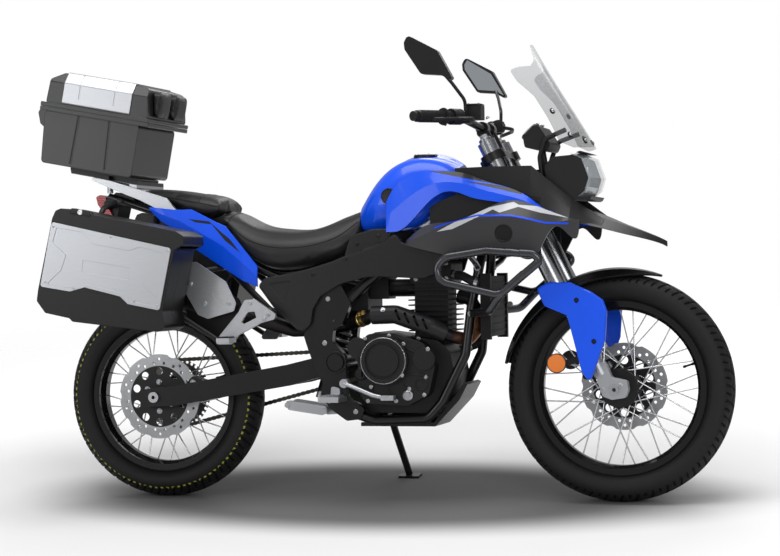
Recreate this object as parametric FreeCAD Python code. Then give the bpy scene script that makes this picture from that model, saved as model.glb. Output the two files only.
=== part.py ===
import FreeCAD, Part
import math
import os

os.makedirs("parts", exist_ok=True)

# Adventure motorcycle with two side cases and a top box, parked on its side stand.
# Every piece is built upright: x runs forward from the rear axle, y to the rider's left,
# z up from the ground. The last section leans the whole machine to its left.

V = FreeCAD.Vector

# Driving dimensions, in millimetres and degrees
LEAN = 8.0
REAR_BEAD_R = 216.0
REAR_TYRE_SECTION = 92.0
REAR_TYRE_R = REAR_BEAD_R + REAR_TYRE_SECTION
REAR_TYRE_HALF = 62.0
REAR_RIM_HALF = 44.0
FRONT_BEAD_R = 241.0
FRONT_TYRE_SECTION = 90.0
FRONT_TYRE_R = FRONT_BEAD_R + FRONT_TYRE_SECTION
FRONT_TYRE_HALF = 54.0
FRONT_RIM_HALF = 35.0
CROWN_R = 70.0
RIM_DEPTH = 16.0
FLANGE_RISE = 11.0
SPOKES = 36
SPOKE_R = 2.0
HUB_R = 30.0
HUB_FLANGE_R = 56.0
DISC_R = 128.0
DISC_BAND = 34.0
DISC_THICK = 5.0
FRONT_DISC_Y = 62.0
REAR_DISC_Y = -76.0
PAD_GAP = 5.0
AXLE_R = 10.0
AXLE_BORE_R = 5.5
SHAFT_GAP = 0.1
SEAT_GAP = 0.3
SCREEN_THICK = 4.0
LAMP_HALF = 96.0
LENS_THICK = 5.0
LENS_SWEEP = 22.0

RAKE = 26.0
STEM_X = 1029.8
STEM_Z = 977.5
FORK_OFFSET = 33.0
AXLE_OFFSET = 49.35
FORK_DROP = STEM_Z + AXLE_OFFSET * math.sin(math.radians(RAKE)) - FRONT_TYRE_R
FORK_LENGTH = FORK_DROP / math.cos(math.radians(RAKE))
WHEELBASE = STEM_X + FORK_LENGTH * math.sin(math.radians(RAKE)) + AXLE_OFFSET * math.cos(math.radians(RAKE))
FORK_HALF = 100.0
FORK_OUTER_R = 27.0
FORK_INNER_R = 20.5
FORK_OUTER_END = 483.0
FOOT_HALF = 17.0
FOOT_BOSS_R = 23.0
STEM_R = 15.0
BAR_R = 11.0
BAR_AHEAD = 32.7
BAR_RISE = 110.7
HEAD_R = 30.0
HEAD_TOP = 6.0
HEAD_LENGTH = 164.0
CLAMP_THICK = 25.0

PIVOT_X = 582.0
PIVOT_Z = 413.0
PIVOT_PLATE_Y = 118.0
PIVOT_PLATE_THICK = 28.0
SHOCK_TOP_X = 580.0
SHOCK_TOP_Z = 600.0
SHOCK_END = V(SHOCK_TOP_X, 122, SHOCK_TOP_Z)
LINK_X = 600.0
LINK_Z = 268.0
STAND_PIVOT = V(647, 170, 279)
STAND_FOOT = V(690, 272, 46)
STAND_AXIS = V(0.0302, 0.8926, 0.4500)
STAND_PIN_R = 8.0
STAND_GROUND = -0.7
RADIATOR_X = 1013.0
ARM_Y = 88.0
ARM_WIDTH = 28.0
ARM_HEIGHT = 50.0
CHAIN_Y = 76.0
PEG_BRACKET_Y = 204.0
SILENCER_SHIELD_Y = 229.0
SPROCKET_TEETH = 41
CHAIN_PITCH = 15.875
CHAIN_GAP = 3.6
FRONT_SPROCKET_X = 655.0
FRONT_SPROCKET_Z = 410.0
FRONT_SPROCKET_R = 36.0

CASE_INNER_Y = 233.0
CASE_SPLIT_Y = 330.0
CASE_OUTER_Y = 400.0
CASE_WALL = 4.0
BOX_HALF = 150.0
BOX_WALL = 4.0
BOX_RIM_HALF = 165.0
BOX_LID_HALF = 160.0
PANEL_THICK = 3.0
LID_GAP = 0.5

STEERING_AXLE = V(WHEELBASE, 0, FRONT_TYRE_R)
REAR_AXLE = V(0, 0, REAR_TYRE_R)


def unit(v):
    """The same direction, one millimetre long."""
    return V(v).normalize()


def to_xz(y):
    """A map from an outline's two numbers to a point in the plane at this y."""
    return lambda a, b: V(a, y, b)


def to_yz(x):
    """A map from an outline's two numbers to a point in the plane at this x."""
    return lambda a, b: V(x, a, b)


def corner_path(points, radius, closed):
    """Edges along points, with each corner rounded by a tangent arc."""
    count = len(points)
    ends = []
    for i, p in enumerate(points):
        inner = closed or 0 < i < count - 1
        if not inner:
            ends.append((p, None, p))
            continue
        before = points[i - 1]
        after = points[(i + 1) % count]
        a = unit(before - p)
        b = unit(after - p)
        half = math.acos(max(-1.0, min(1.0, a.dot(b)))) / 2
        if half > math.radians(89) or radius <= 0:
            ends.append((p, None, p))
            continue
        reach = min(radius / math.tan(half), 0.45 * (before - p).Length, 0.45 * (after - p).Length)
        r = reach * math.tan(half)
        middle = p + unit(a + b) * (r / math.sin(half) - r)
        ends.append((p + a * reach, middle, p + b * reach))
    edges = []
    last = count if closed else count - 1
    for i in range(count):
        start, middle, end = ends[i]
        if middle is not None:
            edges.append(Part.Arc(start, middle, end).toShape())
        if i < last:
            following = ends[(i + 1) % count][0]
            if (following - end).Length > 1e-6:
                edges.append(Part.LineSegment(end, following).toShape())
    return Part.Wire(edges)


def outline(points, place, radius=0.0):
    """Closed wire through points, each corner rounded to the radius."""
    return corner_path([place(a, b) for a, b in points], radius, True)


def plate(points, y0, y1, radius=0.0):
    """Solid whose outline lies in the x-z plane, from y0 to y1."""
    return Part.Face(outline(points, to_xz(y0), radius)).extrude(V(0, y1 - y0, 0))


def block(x0, x1, y0, y1, z0, z1):
    """Box between two limits along each axis."""
    return Part.makeBox(x1 - x0, y1 - y0, z1 - z0, V(x0, y0, z0))


def rod(start, end, r):
    """Round bar between two points."""
    return Part.makeCylinder(r, (end - start).Length, start, end - start)


def disc_y(x, z, r, y0, y1):
    """Disc across the machine about x and z, from y0 to y1."""
    return Part.makeCylinder(r, y1 - y0, V(x, y0, z), V(0, 1, 0))


def ring_y(x, z, r_out, r_in, y0, y1):
    """Flat ring across the machine about x and z."""
    return disc_y(x, z, r_out, y0, y1).cut(disc_y(x, z, r_in, y0 - 1, y1 + 1))


def tube(points, r, bend):
    """Round bar along straight runs that are joined by tangent arcs."""
    path = corner_path([V(*p) for p in points], bend, False)
    profile = Part.Wire(Part.makeCircle(r, V(*points[0]), V(*points[1]) - V(*points[0])))
    return path.makePipeShell([profile], True, False)


def mirrored(shape):
    """The shape on the machine's other side."""
    return shape.mirror(V(0, 0, 0), V(0, 1, 0))


def both(shape):
    """The piece and its mirror image on the other side, in one compound."""
    return Part.makeCompound([shape, mirrored(shape)])


def joined(shapes):
    """One solid from pieces that meet or overlap."""
    return shapes[0].multiFuse(shapes[1:]).removeSplitter()


def loft(wires, ruled=False):
    """Solid through closed sections, smooth or with straight runs between them."""
    return Part.makeLoft(wires, True, ruled)


def spun(profile, centre):
    """Ring around a wheel's axle, from a closed profile of (radius, y) corners."""
    points = [V(centre.x, centre.y + y, centre.z + r) for r, y in profile]
    face = Part.Face(Part.makePolygon(points + points[:1]))
    return face.revolve(centre, V(0, 1, 0), 360)


def round_section(x, half_points):
    """Smooth closed section across the machine, from its top middle to its bottom middle."""
    right = [V(x, -y, z) for y, z in reversed(half_points[1:-1])]
    left = [V(x, y, z) for y, z in half_points]
    curve = Part.BSplineCurve()
    curve.interpolate(left + right, PeriodicFlag=True)
    return Part.Wire(curve.toShape())


def skin(stations, thick, ruled=False):
    """Panel whose outer face runs through stations along x.

    A station is x and the outer (y, z) points from top to bottom. A ruled one is straight between stations.
    """
    wires = []
    for x, points in stations:
        outer = [V(x, y, z) for y, z in points]
        inner = [V(x, y - thick, z) for y, z in reversed(points)]
        corners = outer + inner
        wires.append(Part.makePolygon(corners + corners[:1]))
    return loft(wires, ruled)


def shrunk(points, wall):
    """Outline moved inwards towards its middle by the wall."""
    xs = [p[0] for p in points]
    zs = [p[1] for p in points]
    fx = 1 - 2 * wall / (max(xs) - min(xs))
    fz = 1 - 2 * wall / (max(zs) - min(zs))
    mx = (max(xs) + min(xs)) / 2
    mz = (max(zs) + min(zs)) / 2
    return [(mx + (x - mx) * fx, mz + (z - mz) * fz) for x, z in points]


def at_wheel(centre, r, angle, y):
    """Point at a radius and an angle about a wheel's axle, with 0 ahead of it and 90 above it."""
    a = math.radians(angle)
    return V(centre.x + r * math.cos(a), centre.y + y, centre.z + r * math.sin(a))


# Wheels


def make_tyre(centre, r, half, bead_r, rim_half):
    """Hollow tyre: round crown, bulged walls and two beads on the rim."""
    wall = 9.0
    shoulder_y = 0.86 * half
    shoulder_r = r - CROWN_R + math.sqrt(CROWN_R ** 2 - shoulder_y ** 2)
    bulge_r = (shoulder_r + bead_r) / 2 + 4
    bead_y = rim_half - 5.5

    def at(radius, y):
        return V(centre.x, y, centre.z + radius)

    inner_r = bead_r + 0.5
    inner_shoulder_r = shoulder_r - wall
    inner_shoulder_y = shoulder_y - 6
    edges = [
        Part.Arc(at(shoulder_r, -shoulder_y), at(r, 0), at(shoulder_r, shoulder_y)),
        Part.Arc(at(shoulder_r, shoulder_y), at(bulge_r, half), at(bead_r + 14, bead_y)),
        Part.LineSegment(at(bead_r + 14, bead_y), at(inner_r, bead_y)),
        Part.LineSegment(at(inner_r, bead_y), at(inner_r, bead_y - 8)),
        Part.LineSegment(at(inner_r, bead_y - 8), at(bead_r + 14, bead_y - wall)),
        Part.Arc(at(bead_r + 14, bead_y - wall), at(bulge_r, half - wall), at(inner_shoulder_r, inner_shoulder_y)),
        Part.Arc(at(inner_shoulder_r, inner_shoulder_y), at(r - wall - 3, 0), at(inner_shoulder_r, -inner_shoulder_y)),
        Part.Arc(at(inner_shoulder_r, -inner_shoulder_y), at(bulge_r, wall - half), at(bead_r + 14, wall - bead_y)),
        Part.LineSegment(at(bead_r + 14, wall - bead_y), at(inner_r, 8 - bead_y)),
        Part.LineSegment(at(inner_r, 8 - bead_y), at(inner_r, -bead_y)),
        Part.LineSegment(at(inner_r, -bead_y), at(bead_r + 14, -bead_y)),
        Part.Arc(at(bead_r + 14, -bead_y), at(bulge_r, -half), at(shoulder_r, -shoulder_y)),
    ]
    face = Part.Face(Part.Wire([e.toShape() for e in edges]))
    return face.revolve(centre, V(0, 1, 0), 360)


def make_rim(centre, bead_r, half):
    """Drop-centre rim with two flanges, open towards the tyre."""
    well_r = bead_r - RIM_DEPTH
    top_r = bead_r + FLANGE_RISE
    return spun([
        (top_r, -half), (top_r, 4 - half), (bead_r, 5 - half), (bead_r, 15 - half),
        (well_r + 4, -10), (well_r + 4, 10), (bead_r, half - 15), (bead_r, half - 5),
        (top_r, half - 4), (top_r, half), (bead_r - 6, half - 1), (bead_r - 6, half - 14),
        (well_r, 12), (well_r, -12), (bead_r - 6, 14 - half), (bead_r - 6, 1 - half)], centre)


def make_spokes(centre, bead_r, flange_y, hub_half):
    """Hub with two drilled flanges and crossed wire spokes."""
    well_r = bead_r - RIM_DEPTH - SEAT_GAP
    hub = spun([
        (AXLE_R + SHAFT_GAP, -hub_half), (HUB_R - 4, -hub_half), (HUB_R - 4, 4 - hub_half), (HUB_R, 4 - hub_half),
        (HUB_R, -flange_y - 6), (HUB_FLANGE_R, -flange_y - 5),
        (HUB_FLANGE_R, 5 - flange_y), (HUB_R, 10 - flange_y), (HUB_R, flange_y - 10), (HUB_FLANGE_R, flange_y - 5),
        (HUB_FLANGE_R, flange_y + 5), (HUB_R, flange_y + 6), (HUB_R, hub_half - 4), (HUB_R - 4, hub_half - 4),
        (HUB_R - 4, hub_half), (AXLE_R + SHAFT_GAP, hub_half)],
        centre)
    wires = []
    for i in range(SPOKES):
        rim_angle = 360.0 * i / SPOKES
        side = 1 if i % 2 else -1
        lead = 1 if (i // 2) % 2 else -1
        inner = at_wheel(centre, HUB_FLANGE_R - 7, rim_angle + lead * 62, side * (flange_y + lead * 2.6))
        outer = at_wheel(centre, well_r + 1, rim_angle, side * 6)
        wires.append(rod(inner, outer, SPOKE_R))
        nipple = outer + unit(inner - outer) * 16
        wires.append(rod(nipple, outer, SPOKE_R + 1.2))
    trimmed = Part.makeCompound(wires).common(disc_y(centre.x, centre.z, well_r, -60, 60))
    return hub.multiFuse(trimmed.Solids)


def make_disc(centre, y, bore_r):
    """Brake disc with a wavy edge, cooling holes and a spoked carrier."""
    disc = disc_y(centre.x, centre.z, DISC_R, y, y + DISC_THICK)
    cuts = [disc_y(centre.x, centre.z, bore_r, y - 1, y + DISC_THICK + 1)]
    waves = 10
    for i in range(waves):
        p = at_wheel(centre, DISC_R + 19, 360.0 * i / waves, 0)
        cuts.append(disc_y(p.x, p.z, 24, y - 1, y + DISC_THICK + 1))
        window = at_wheel(centre, DISC_R - DISC_BAND - 17, 360.0 * (i + 0.5) / waves, 0)
        cuts.append(disc_y(window.x, window.z, 12, y - 1, y + DISC_THICK + 1))
        for r, shift in ((DISC_R - 14, 0.5), (DISC_R - 26, 0.25), (DISC_R - 26, 0.75)):
            hole = at_wheel(centre, r, 360.0 * (i + shift) / waves, 0)
            cuts.append(disc_y(hole.x, hole.z, 4.5, y - 1, y + DISC_THICK + 1))
    return disc.cut(cuts)


def make_sprocket():
    """Driven sprocket: round-bottomed teeth on a drilled plate."""
    pitch_r = CHAIN_PITCH / (2 * math.sin(math.pi / SPROCKET_TEETH))
    y = CHAIN_Y - 3
    wheel = disc_y(0, REAR_TYRE_R, pitch_r + 4.5, y, y + 6)
    cuts = [disc_y(0, REAR_TYRE_R, HUB_R + SEAT_GAP, y - 1, y + 7)]
    for i in range(SPROCKET_TEETH):
        p = at_wheel(REAR_AXLE, pitch_r, 360.0 * i / SPROCKET_TEETH, 0)
        cuts.append(disc_y(p.x, p.z, 5.2, y - 1, y + 7))
    for i in range(6):
        p = at_wheel(REAR_AXLE, 66, 60.0 * i, 0)
        cuts.append(disc_y(p.x, p.z, 19, y - 1, y + 7))
    carrier = ring_y(0, REAR_TYRE_R, HUB_FLANGE_R - 2, HUB_R + SEAT_GAP, 46, y)
    return joined([wheel.cut(cuts), carrier])


def belt(r_rear, r_front, y0, y1):
    """Loop outline around both sprockets, as one plate."""
    a = V(0, y0, REAR_TYRE_R)
    b = V(FRONT_SPROCKET_X, y0, FRONT_SPROCKET_Z)
    along = b - a
    tilt = math.atan2(along.z, along.x)
    spread = math.acos((r_rear - r_front) / along.Length)

    def on(c, r, angle):
        return V(c.x + r * math.cos(angle), y0, c.z + r * math.sin(angle))

    upper = tilt + spread
    lower = tilt - spread
    edges = [
        Part.LineSegment(on(a, r_rear, upper), on(b, r_front, upper)),
        Part.Arc(on(b, r_front, upper), on(b, r_front, tilt), on(b, r_front, lower)),
        Part.LineSegment(on(b, r_front, lower), on(a, r_rear, lower)),
        Part.Arc(on(a, r_rear, lower), on(a, r_rear, tilt + math.pi), on(a, r_rear, upper)),
    ]
    return Part.Face(Part.Wire([e.toShape() for e in edges])).extrude(V(0, y1 - y0, 0))


def make_chain():
    """Two rows of side plates, joined by rollers on the straight runs."""
    pitch_r = CHAIN_PITCH / (2 * math.sin(math.pi / SPROCKET_TEETH))
    rows = []
    for inner, outer in ((CHAIN_GAP, CHAIN_GAP + 3), (-CHAIN_GAP - 3, -CHAIN_GAP)):
        y0 = CHAIN_Y + inner
        y1 = CHAIN_Y + outer
        loop = belt(pitch_r + 7, FRONT_SPROCKET_R + 7, y0, y1)
        rows.append(loop.cut(belt(pitch_r - 7, FRONT_SPROCKET_R - 7, y0 - 1, y1 + 1)))
    slope = (FRONT_SPROCKET_Z - REAR_TYRE_R) / FRONT_SPROCKET_X
    length = math.hypot(FRONT_SPROCKET_X, FRONT_SPROCKET_Z - REAR_TYRE_R)
    tilt = math.atan(slope)
    rollers = []
    for sign in (1, -1):
        angle = tilt + sign * math.acos((pitch_r - FRONT_SPROCKET_R) / length)
        start = V(pitch_r * math.cos(angle), 0, REAR_TYRE_R + pitch_r * math.sin(angle))
        end = V(FRONT_SPROCKET_X + FRONT_SPROCKET_R * math.cos(angle), 0,
                FRONT_SPROCKET_Z + FRONT_SPROCKET_R * math.sin(angle))
        step = unit(end - start) * CHAIN_PITCH
        first = start + step * 5
        for i in range(0, 30, 2):
            p = first + step * i
            rollers.append(disc_y(p.x, p.z, 5.0, CHAIN_Y - CHAIN_GAP, CHAIN_Y + CHAIN_GAP))
    return rows[0].multiFuse([rows[1]] + rollers)


# Steering: built along a vertical axis through the head, then raked


FORK_PLACE = FreeCAD.Placement(V(STEM_X, 0, STEM_Z), FreeCAD.Rotation(V(0, 1, 0), -RAKE))


def raked(shape):
    """The shape, turned from the vertical to the steering head's place and rake."""
    turned = shape.copy()
    turned.transformShape(FORK_PLACE.toMatrix(), True)
    return turned


def on_fork(s, y, h):
    """Point at s ahead of the steering axis and h up along it."""
    return FORK_PLACE.multVec(V(s, y, h))


def make_fork_outer():
    """Upper fork tubes with a collar at the lower end and a cap at the top."""
    leg = Part.makeCylinder(FORK_OUTER_R, FORK_OUTER_END + 62, V(FORK_OFFSET, FORK_HALF, -FORK_OUTER_END))
    collar = Part.makeCylinder(FORK_OUTER_R + 3, 26, V(FORK_OFFSET, FORK_HALF, -FORK_OUTER_END))
    cap = Part.makeCylinder(FORK_OUTER_R - 8, 10, V(FORK_OFFSET, FORK_HALF, 62))
    bore = Part.makeCylinder(FORK_INNER_R + SEAT_GAP, FORK_OUTER_END - 60,
                             V(FORK_OFFSET, FORK_HALF, -FORK_OUTER_END - 1))
    return both(raked(joined([leg, collar, cap]).cut(bore)))


def make_fork_lower():
    """Slider tubes with the cast feet that hold the axle."""
    axle = STEERING_AXLE
    y0 = FORK_HALF - FOOT_HALF
    y1 = FORK_HALF + FOOT_HALF
    slider = raked(Part.makeCylinder(FORK_INNER_R, 360, V(FORK_OFFSET, FORK_HALF, -690)))
    foot = plate([(1338, 404), (1372, 412), (1392, 366), (1436, 356), (1440, 330), (1432, 308),
                  (1392, 302), (1366, 312), (1352, 352)], y0, y1, 10)
    boss = disc_y(axle.x, axle.z, FOOT_BOSS_R, y0 - 4, y1)
    hole = disc_y(axle.x, axle.z, AXLE_R + SHAFT_GAP, 0, 200)
    return both(joined([slider, foot, boss]).cut(hole))


def make_clamps():
    """Upper and lower fork bridges, the stem between them and the bar risers."""
    reach = HEAD_LENGTH + 2 * HEAD_TOP
    pieces = [Part.makeCylinder(STEM_R, reach + 40, V(0, 0, -reach - 20))]
    holes = []
    for low in (0.0, -reach - CLAMP_THICK):
        arm = [V(-24, -30, low), V(-24, 30, low), V(8, FORK_HALF, low), (V(58, FORK_HALF - 10, low)),
               V(62, 0, low), V(58, 10 - FORK_HALF, low), V(8, -FORK_HALF, low)]
        pieces.append(Part.Face(corner_path(arm, 14, True)).extrude(V(0, 0, CLAMP_THICK)))
        for y in (-FORK_HALF, FORK_HALF):
            pieces.append(Part.makeCylinder(FORK_OUTER_R + 9, CLAMP_THICK, V(FORK_OFFSET, y, low)))
            holes.append(Part.makeCylinder(FORK_OUTER_R, CLAMP_THICK + 2, V(FORK_OFFSET, y, low - 1)))
    for y in (-45, 45):
        pieces.append(Part.makeCylinder(14, 88, V(BAR_AHEAD, y, CLAMP_THICK - 2)))
        pieces.append(Part.makeCylinder(BAR_R + 8, 30, V(BAR_AHEAD, y - 15, BAR_RISE), V(0, 1, 0)))
    return raked(joined(pieces).cut(holes)).cut(bar_tube(BAR_R + SEAT_GAP))


def make_front_axle():
    """Hollow axle with its head on the right and its nut on the left."""
    nut = disc_y(WHEELBASE, FRONT_TYRE_R, 17, FORK_HALF + 17, FORK_HALF + 27)
    shaft = disc_y(WHEELBASE, FRONT_TYRE_R, AXLE_R, -FORK_HALF - 18, FORK_HALF + 18)
    head = disc_y(WHEELBASE, FRONT_TYRE_R, 14, -FORK_HALF - 25, -FORK_HALF - 17)
    bore = disc_y(WHEELBASE, FRONT_TYRE_R, AXLE_BORE_R, -200, 200)
    return joined([shaft, nut, head]).cut(bore)


def sector(r_out, r_in, start, end, y0, y1, centre):
    """Part of a ring about a wheel's axle, between two angles."""
    def at(r, angle):
        return at_wheel(V(centre.x, 0, centre.z), r, angle, y0)
    mid = (start + end) / 2
    edges = [
        Part.Arc(at(r_out, start), at(r_out, mid), at(r_out, end)).toShape(),
        Part.LineSegment(at(r_out, end), at(r_in, end)).toShape(),
        Part.Arc(at(r_in, end), at(r_in, mid), at(r_in, start)).toShape(),
        Part.LineSegment(at(r_in, start), at(r_out, start)).toShape(),
    ]
    return Part.Face(Part.Wire(edges)).extrude(V(0, y1 - y0, 0))


MUDGUARD_R = FRONT_TYRE_R + 18
MUDGUARD_THICK = 4.0
# The wheel's angle, the blade's half width and how far its edges hang, from its tail to its tip
MUDGUARD_ARCHES = [(168, 30, 8), (160, 48, 16), (145, 62, 24), (125, 66, 30), (110, 66, 30), (95, 62, 26),
                   (82, 48, 18), (74, 28, 9), (69, 10, 3)]


def make_front_mudguard():
    """Arched black blade over the tyre, and the stays that hold it between the forks."""
    arches = []
    for angle, half, drop in MUDGUARD_ARCHES:
        inner = half - MUDGUARD_THICK
        depth = drop + MUDGUARD_THICK
        outer = [(-half, drop), (-0.6 * half, 0.2 * drop), (0, 0), (0.6 * half, 0.2 * drop), (half, drop)]
        below = [(inner, depth), (0.6 * inner, 0.2 * drop + MUDGUARD_THICK), (0, MUDGUARD_THICK),
                 (-0.6 * inner, 0.2 * drop + MUDGUARD_THICK), (-inner, depth)]
        corners = [at_wheel(STEERING_AXLE, MUDGUARD_R - down, angle, y) for y, down in outer + below]
        arches.append(Part.makePolygon(corners + corners[:1]))
    at_fork = FORK_HALF - FORK_OUTER_R - SEAT_GAP
    stay = sector(MUDGUARD_R - 21, MUDGUARD_R - 33, 111, 128, 57, at_fork, STEERING_AXLE)
    return joined([loft(arches), stay, mirrored(stay)])


def make_fork_guards():
    """Blue plates outside the fork tubes, each bevelled round its edge and held by two bolts."""
    shape = [(1182, 623), (1216, 640), (1277, 640), (1340, 612), (1374, 588), (1385, 557), (1379, 473),
             (1334, 352), (1312, 380), (1293, 456), (1270, 546), (1203, 574)]
    y = FORK_HALF + FORK_OUTER_R + 3 + SEAT_GAP
    bevel = loft([outline(shape, to_xz(y + 8), 10), outline(shrunk(shape, 4), to_xz(y + 12), 10)], True)
    guard = joined([plate(shape, y, y + 8, 10), bevel])
    holes = [disc_y(x, z, 7, y + 9, y + 13) for x, z in ((1298, 588), (1347, 470))]
    return both(guard.cut(holes))


def make_caliper():
    """Two-piston front caliper that straddles the left disc behind the fork."""
    y = FRONT_DISC_Y
    body = plate([(1268, 420), (1322, 452), (1352, 398), (1330, 352), (1282, 352)], y - 20,
                 FORK_HALF - FORK_INNER_R - SEAT_GAP, 10)
    slot = disc_y(WHEELBASE, FRONT_TYRE_R, DISC_R + 6, y - PAD_GAP, y + DISC_THICK + PAD_GAP)
    return body.cut(slot)


BAR_PATH = [(1012, 0, 1090), (1010, 70, 1092), (985, 190, 1112), (976, 285, 1112), (905, 412, 1108)]


def bar_tube(r):
    """The bar's raised and swept path at a radius, from grip to grip."""
    half = tube(BAR_PATH, r, 60)
    return joined([half, mirrored(half)])


def make_handlebar():
    """Raised bar, clamped on two risers."""
    return bar_tube(BAR_R)


def make_grip():
    """Rubber grip with its end weight."""
    start = V(*BAR_PATH[-2])
    end = V(*BAR_PATH[-1])
    along = unit(end - start)
    grip = rod(start + along * 4, end, 16.5)
    weight = rod(end, end + along * 14, 14)
    return joined([grip, weight])


def make_controls():
    """Grips, switch housings, lever perches and the brake fluid reservoir."""
    start = V(*BAR_PATH[-2])
    along = unit(start - V(*BAR_PATH[-1]))
    switch = rod(start + along * -6, start + along * 32, 23)
    perch = block(968, 1012, 222, 246, 1095, 1128)
    lever = tube([(1010, 236, 1110), (1034, 262, 1106), (1018, 330, 1102), (962, 432, 1096)], 5.5, 30)
    left = joined([make_grip(), switch, perch, lever])
    reservoir = joined([block(1000, 1046, -226, -176, 1106, 1146), block(1004, 1018, -246, -200, 1095, 1110)])
    right = joined([mirrored(left), reservoir])
    bar = bar_tube(BAR_R + SEAT_GAP)
    return Part.makeCompound([left.cut(bar), right.cut(bar)])


def make_mirrors():
    """Two mirror heads on bent stems."""
    stem = tube([(1004, 236, 1129.5), (1004, 240, 1160), (982, 304, 1205), (962, 352, 1238)], 5, 30)
    face = [(871, 1338), (860, 1318), (862, 1298), (908, 1228), (966, 1223), (1006, 1200), (956, 1292)]
    head = plate(face, 340, 368, 14)
    return both(joined([stem, head]))


# Frame, swingarm and engine


def make_main_frame():
    """Head tube, backbone spars, down tubes, cradle and pivot plates."""
    head = Part.makeCylinder(HEAD_R, HEAD_LENGTH, V(0, 0, -HEAD_LENGTH - HEAD_TOP))
    bore = raked(Part.makeCylinder(STEM_R + SHAFT_GAP, HEAD_LENGTH + 4, V(0, 0, -HEAD_LENGTH - HEAD_TOP - 2)))
    neck = on_fork(-6, 0, -60)
    low_neck = on_fork(-20, 0, -90)
    spar = tube([(neck.x, 10, neck.z), (960, 52, 850), (780, 78, 742), (660, 104, 640), (590, 126, 566),
                 (578, 130, 530)], 17, 60)
    down = tube([(low_neck.x, 12, low_neck.z), (1017, 40, 788), (1000, 78, 680), (980, 96, 570), (964, 108, 433),
                 (893, 112, 294), (850, 112, 246), (690, 112, 240), (630, 124, 262), (604, 130, 300)], 14, 45)
    half = [spar, down, make_pivot_plate()]
    cross = [rod(V(700, -92, 676), V(700, 92, 676), 14), rod(V(SHOCK_TOP_X, -122, SHOCK_TOP_Z), SHOCK_END, 9),
             rod(V(850, -112, 246), V(850, 112, 246), 12), rod(V(680, -112, 243), V(680, 112, 243), 10),
             disc_y(PIVOT_X, PIVOT_Z, AXLE_R, -150, 150), rod(V(LINK_X, -30, LINK_Z), V(LINK_X, 30, LINK_Z), 8)]
    lug = plate([(LINK_X - 12, LINK_Z - 12), (LINK_X - 12, LINK_Z + 12), (690, 250), (690, 234)], 14, 28, 0)
    pin = rod(STAND_PIVOT - STAND_AXIS * 48, STAND_PIVOT + STAND_AXIS * 16, STAND_PIN_R)
    pieces = [raked(head)] + half + [mirrored(s) for s in half] + cross + [lug, mirrored(lug), pin]
    return joined(pieces).cut(bore)


def make_subframe():
    """Seat rails and the struts below them, bolted to the spars and the pivot plates."""
    seat_rail = tube([(652, 103, 641), (520, 104, 668), (400, 106, 660), (300, 106, 708), (215, 104, 778),
                      (90, 98, 840), (-150, 80, 916)], 12, 90)
    strut = tube([(540, 132, 505), (372, 114, 566), (150, 106, 782), (110, 99, 826)], 10, 60)
    cross = [rod(V(90, -98, 840), V(90, 98, 840), 10), rod(V(-130, -81, 910), V(-130, 81, 910), 10)]
    return joined([seat_rail, strut, mirrored(seat_rail), mirrored(strut)] + cross)


def make_pivot_plate():
    """Cast plate that holds the swingarm pivot and the rear of the engine, with a ring round the pivot's cap."""
    shape = [(519, 587), (560, 640), (600, 640), (630, 586), (600, 520), (575, 508), (571, 476), (604, 440),
             (612, 376), (612, 317), (632, 296), (668, 278), (655, 246), (613, 241), (560, 278), (534, 318),
             (541, 352), (520, 390), (497, 450), (484, 492), (506, 548)]
    outer = PIVOT_PLATE_Y + PIVOT_PLATE_THICK
    side = plate(shape, PIVOT_PLATE_Y, outer, 12)
    ring = ring_y(PIVOT_X, PIVOT_Z, 32, 28, outer - 1, outer + 5)
    cap = disc_y(PIVOT_X, PIVOT_Z, 24, outer - 1, outer + 10)
    return joined([side, ring, cap])


def make_swingarm():
    """Two box beams, a cross member and the pivot tube."""
    h = ARM_HEIGHT / 2
    shape = [(-46, REAR_TYRE_R - 30), (-46, REAR_TYRE_R + 22), (60, REAR_TYRE_R + 34), (420, PIVOT_Z - 8),
             (560, PIVOT_Z + h), (600, PIVOT_Z + h), (600, PIVOT_Z - h), (430, PIVOT_Z - 70),
             (60, REAR_TYRE_R - 26)]
    beam = plate(shape, ARM_Y, ARM_Y + ARM_WIDTH, 10)
    web = plate([(345, 345), (345, 385), (402, 395), (402, 352)], -ARM_Y - 2, ARM_Y + 2, 8)
    pivot = disc_y(PIVOT_X, PIVOT_Z, 20, -PIVOT_PLATE_Y + SEAT_GAP, PIVOT_PLATE_Y - SEAT_GAP)
    slot = disc_y(0, REAR_TYRE_R, AXLE_R + SHAFT_GAP, -200, 200)
    bore = disc_y(PIVOT_X, PIVOT_Z, AXLE_R + SHAFT_GAP, -200, 200)
    return joined([beam, mirrored(beam), web, pivot, make_rear_caliper()]).cut([slot, bore])


def make_rear_axle():
    """Hollow axle with a nut outside each swingarm beam."""
    shaft = disc_y(0, REAR_TYRE_R, AXLE_R, -ARM_Y - ARM_WIDTH - 1, ARM_Y + ARM_WIDTH + 1)
    nuts = [disc_y(0, REAR_TYRE_R, 16, y, y + 12) for y in (-ARM_Y - ARM_WIDTH - 12, ARM_Y + ARM_WIDTH)]
    return joined([shaft] + nuts).cut(disc_y(0, REAR_TYRE_R, AXLE_BORE_R, -200, 200))


def make_rear_caliper():
    """Caliper over the rear disc, part of its bracket on the swingarm."""
    y = REAR_DISC_Y
    body = plate([(118, 372), (160, 352), (150, 300), (104, 306), (94, 348)], y - 24, y + 20, 8)
    slot = disc_y(0, REAR_TYRE_R, DISC_R + 6, y - PAD_GAP, y + DISC_THICK + PAD_GAP)
    return body.cut(slot)


def make_suspension():
    """Coil-over shock on its rocker and dog-bone link."""
    return joined([make_shock(), make_link()])


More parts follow.
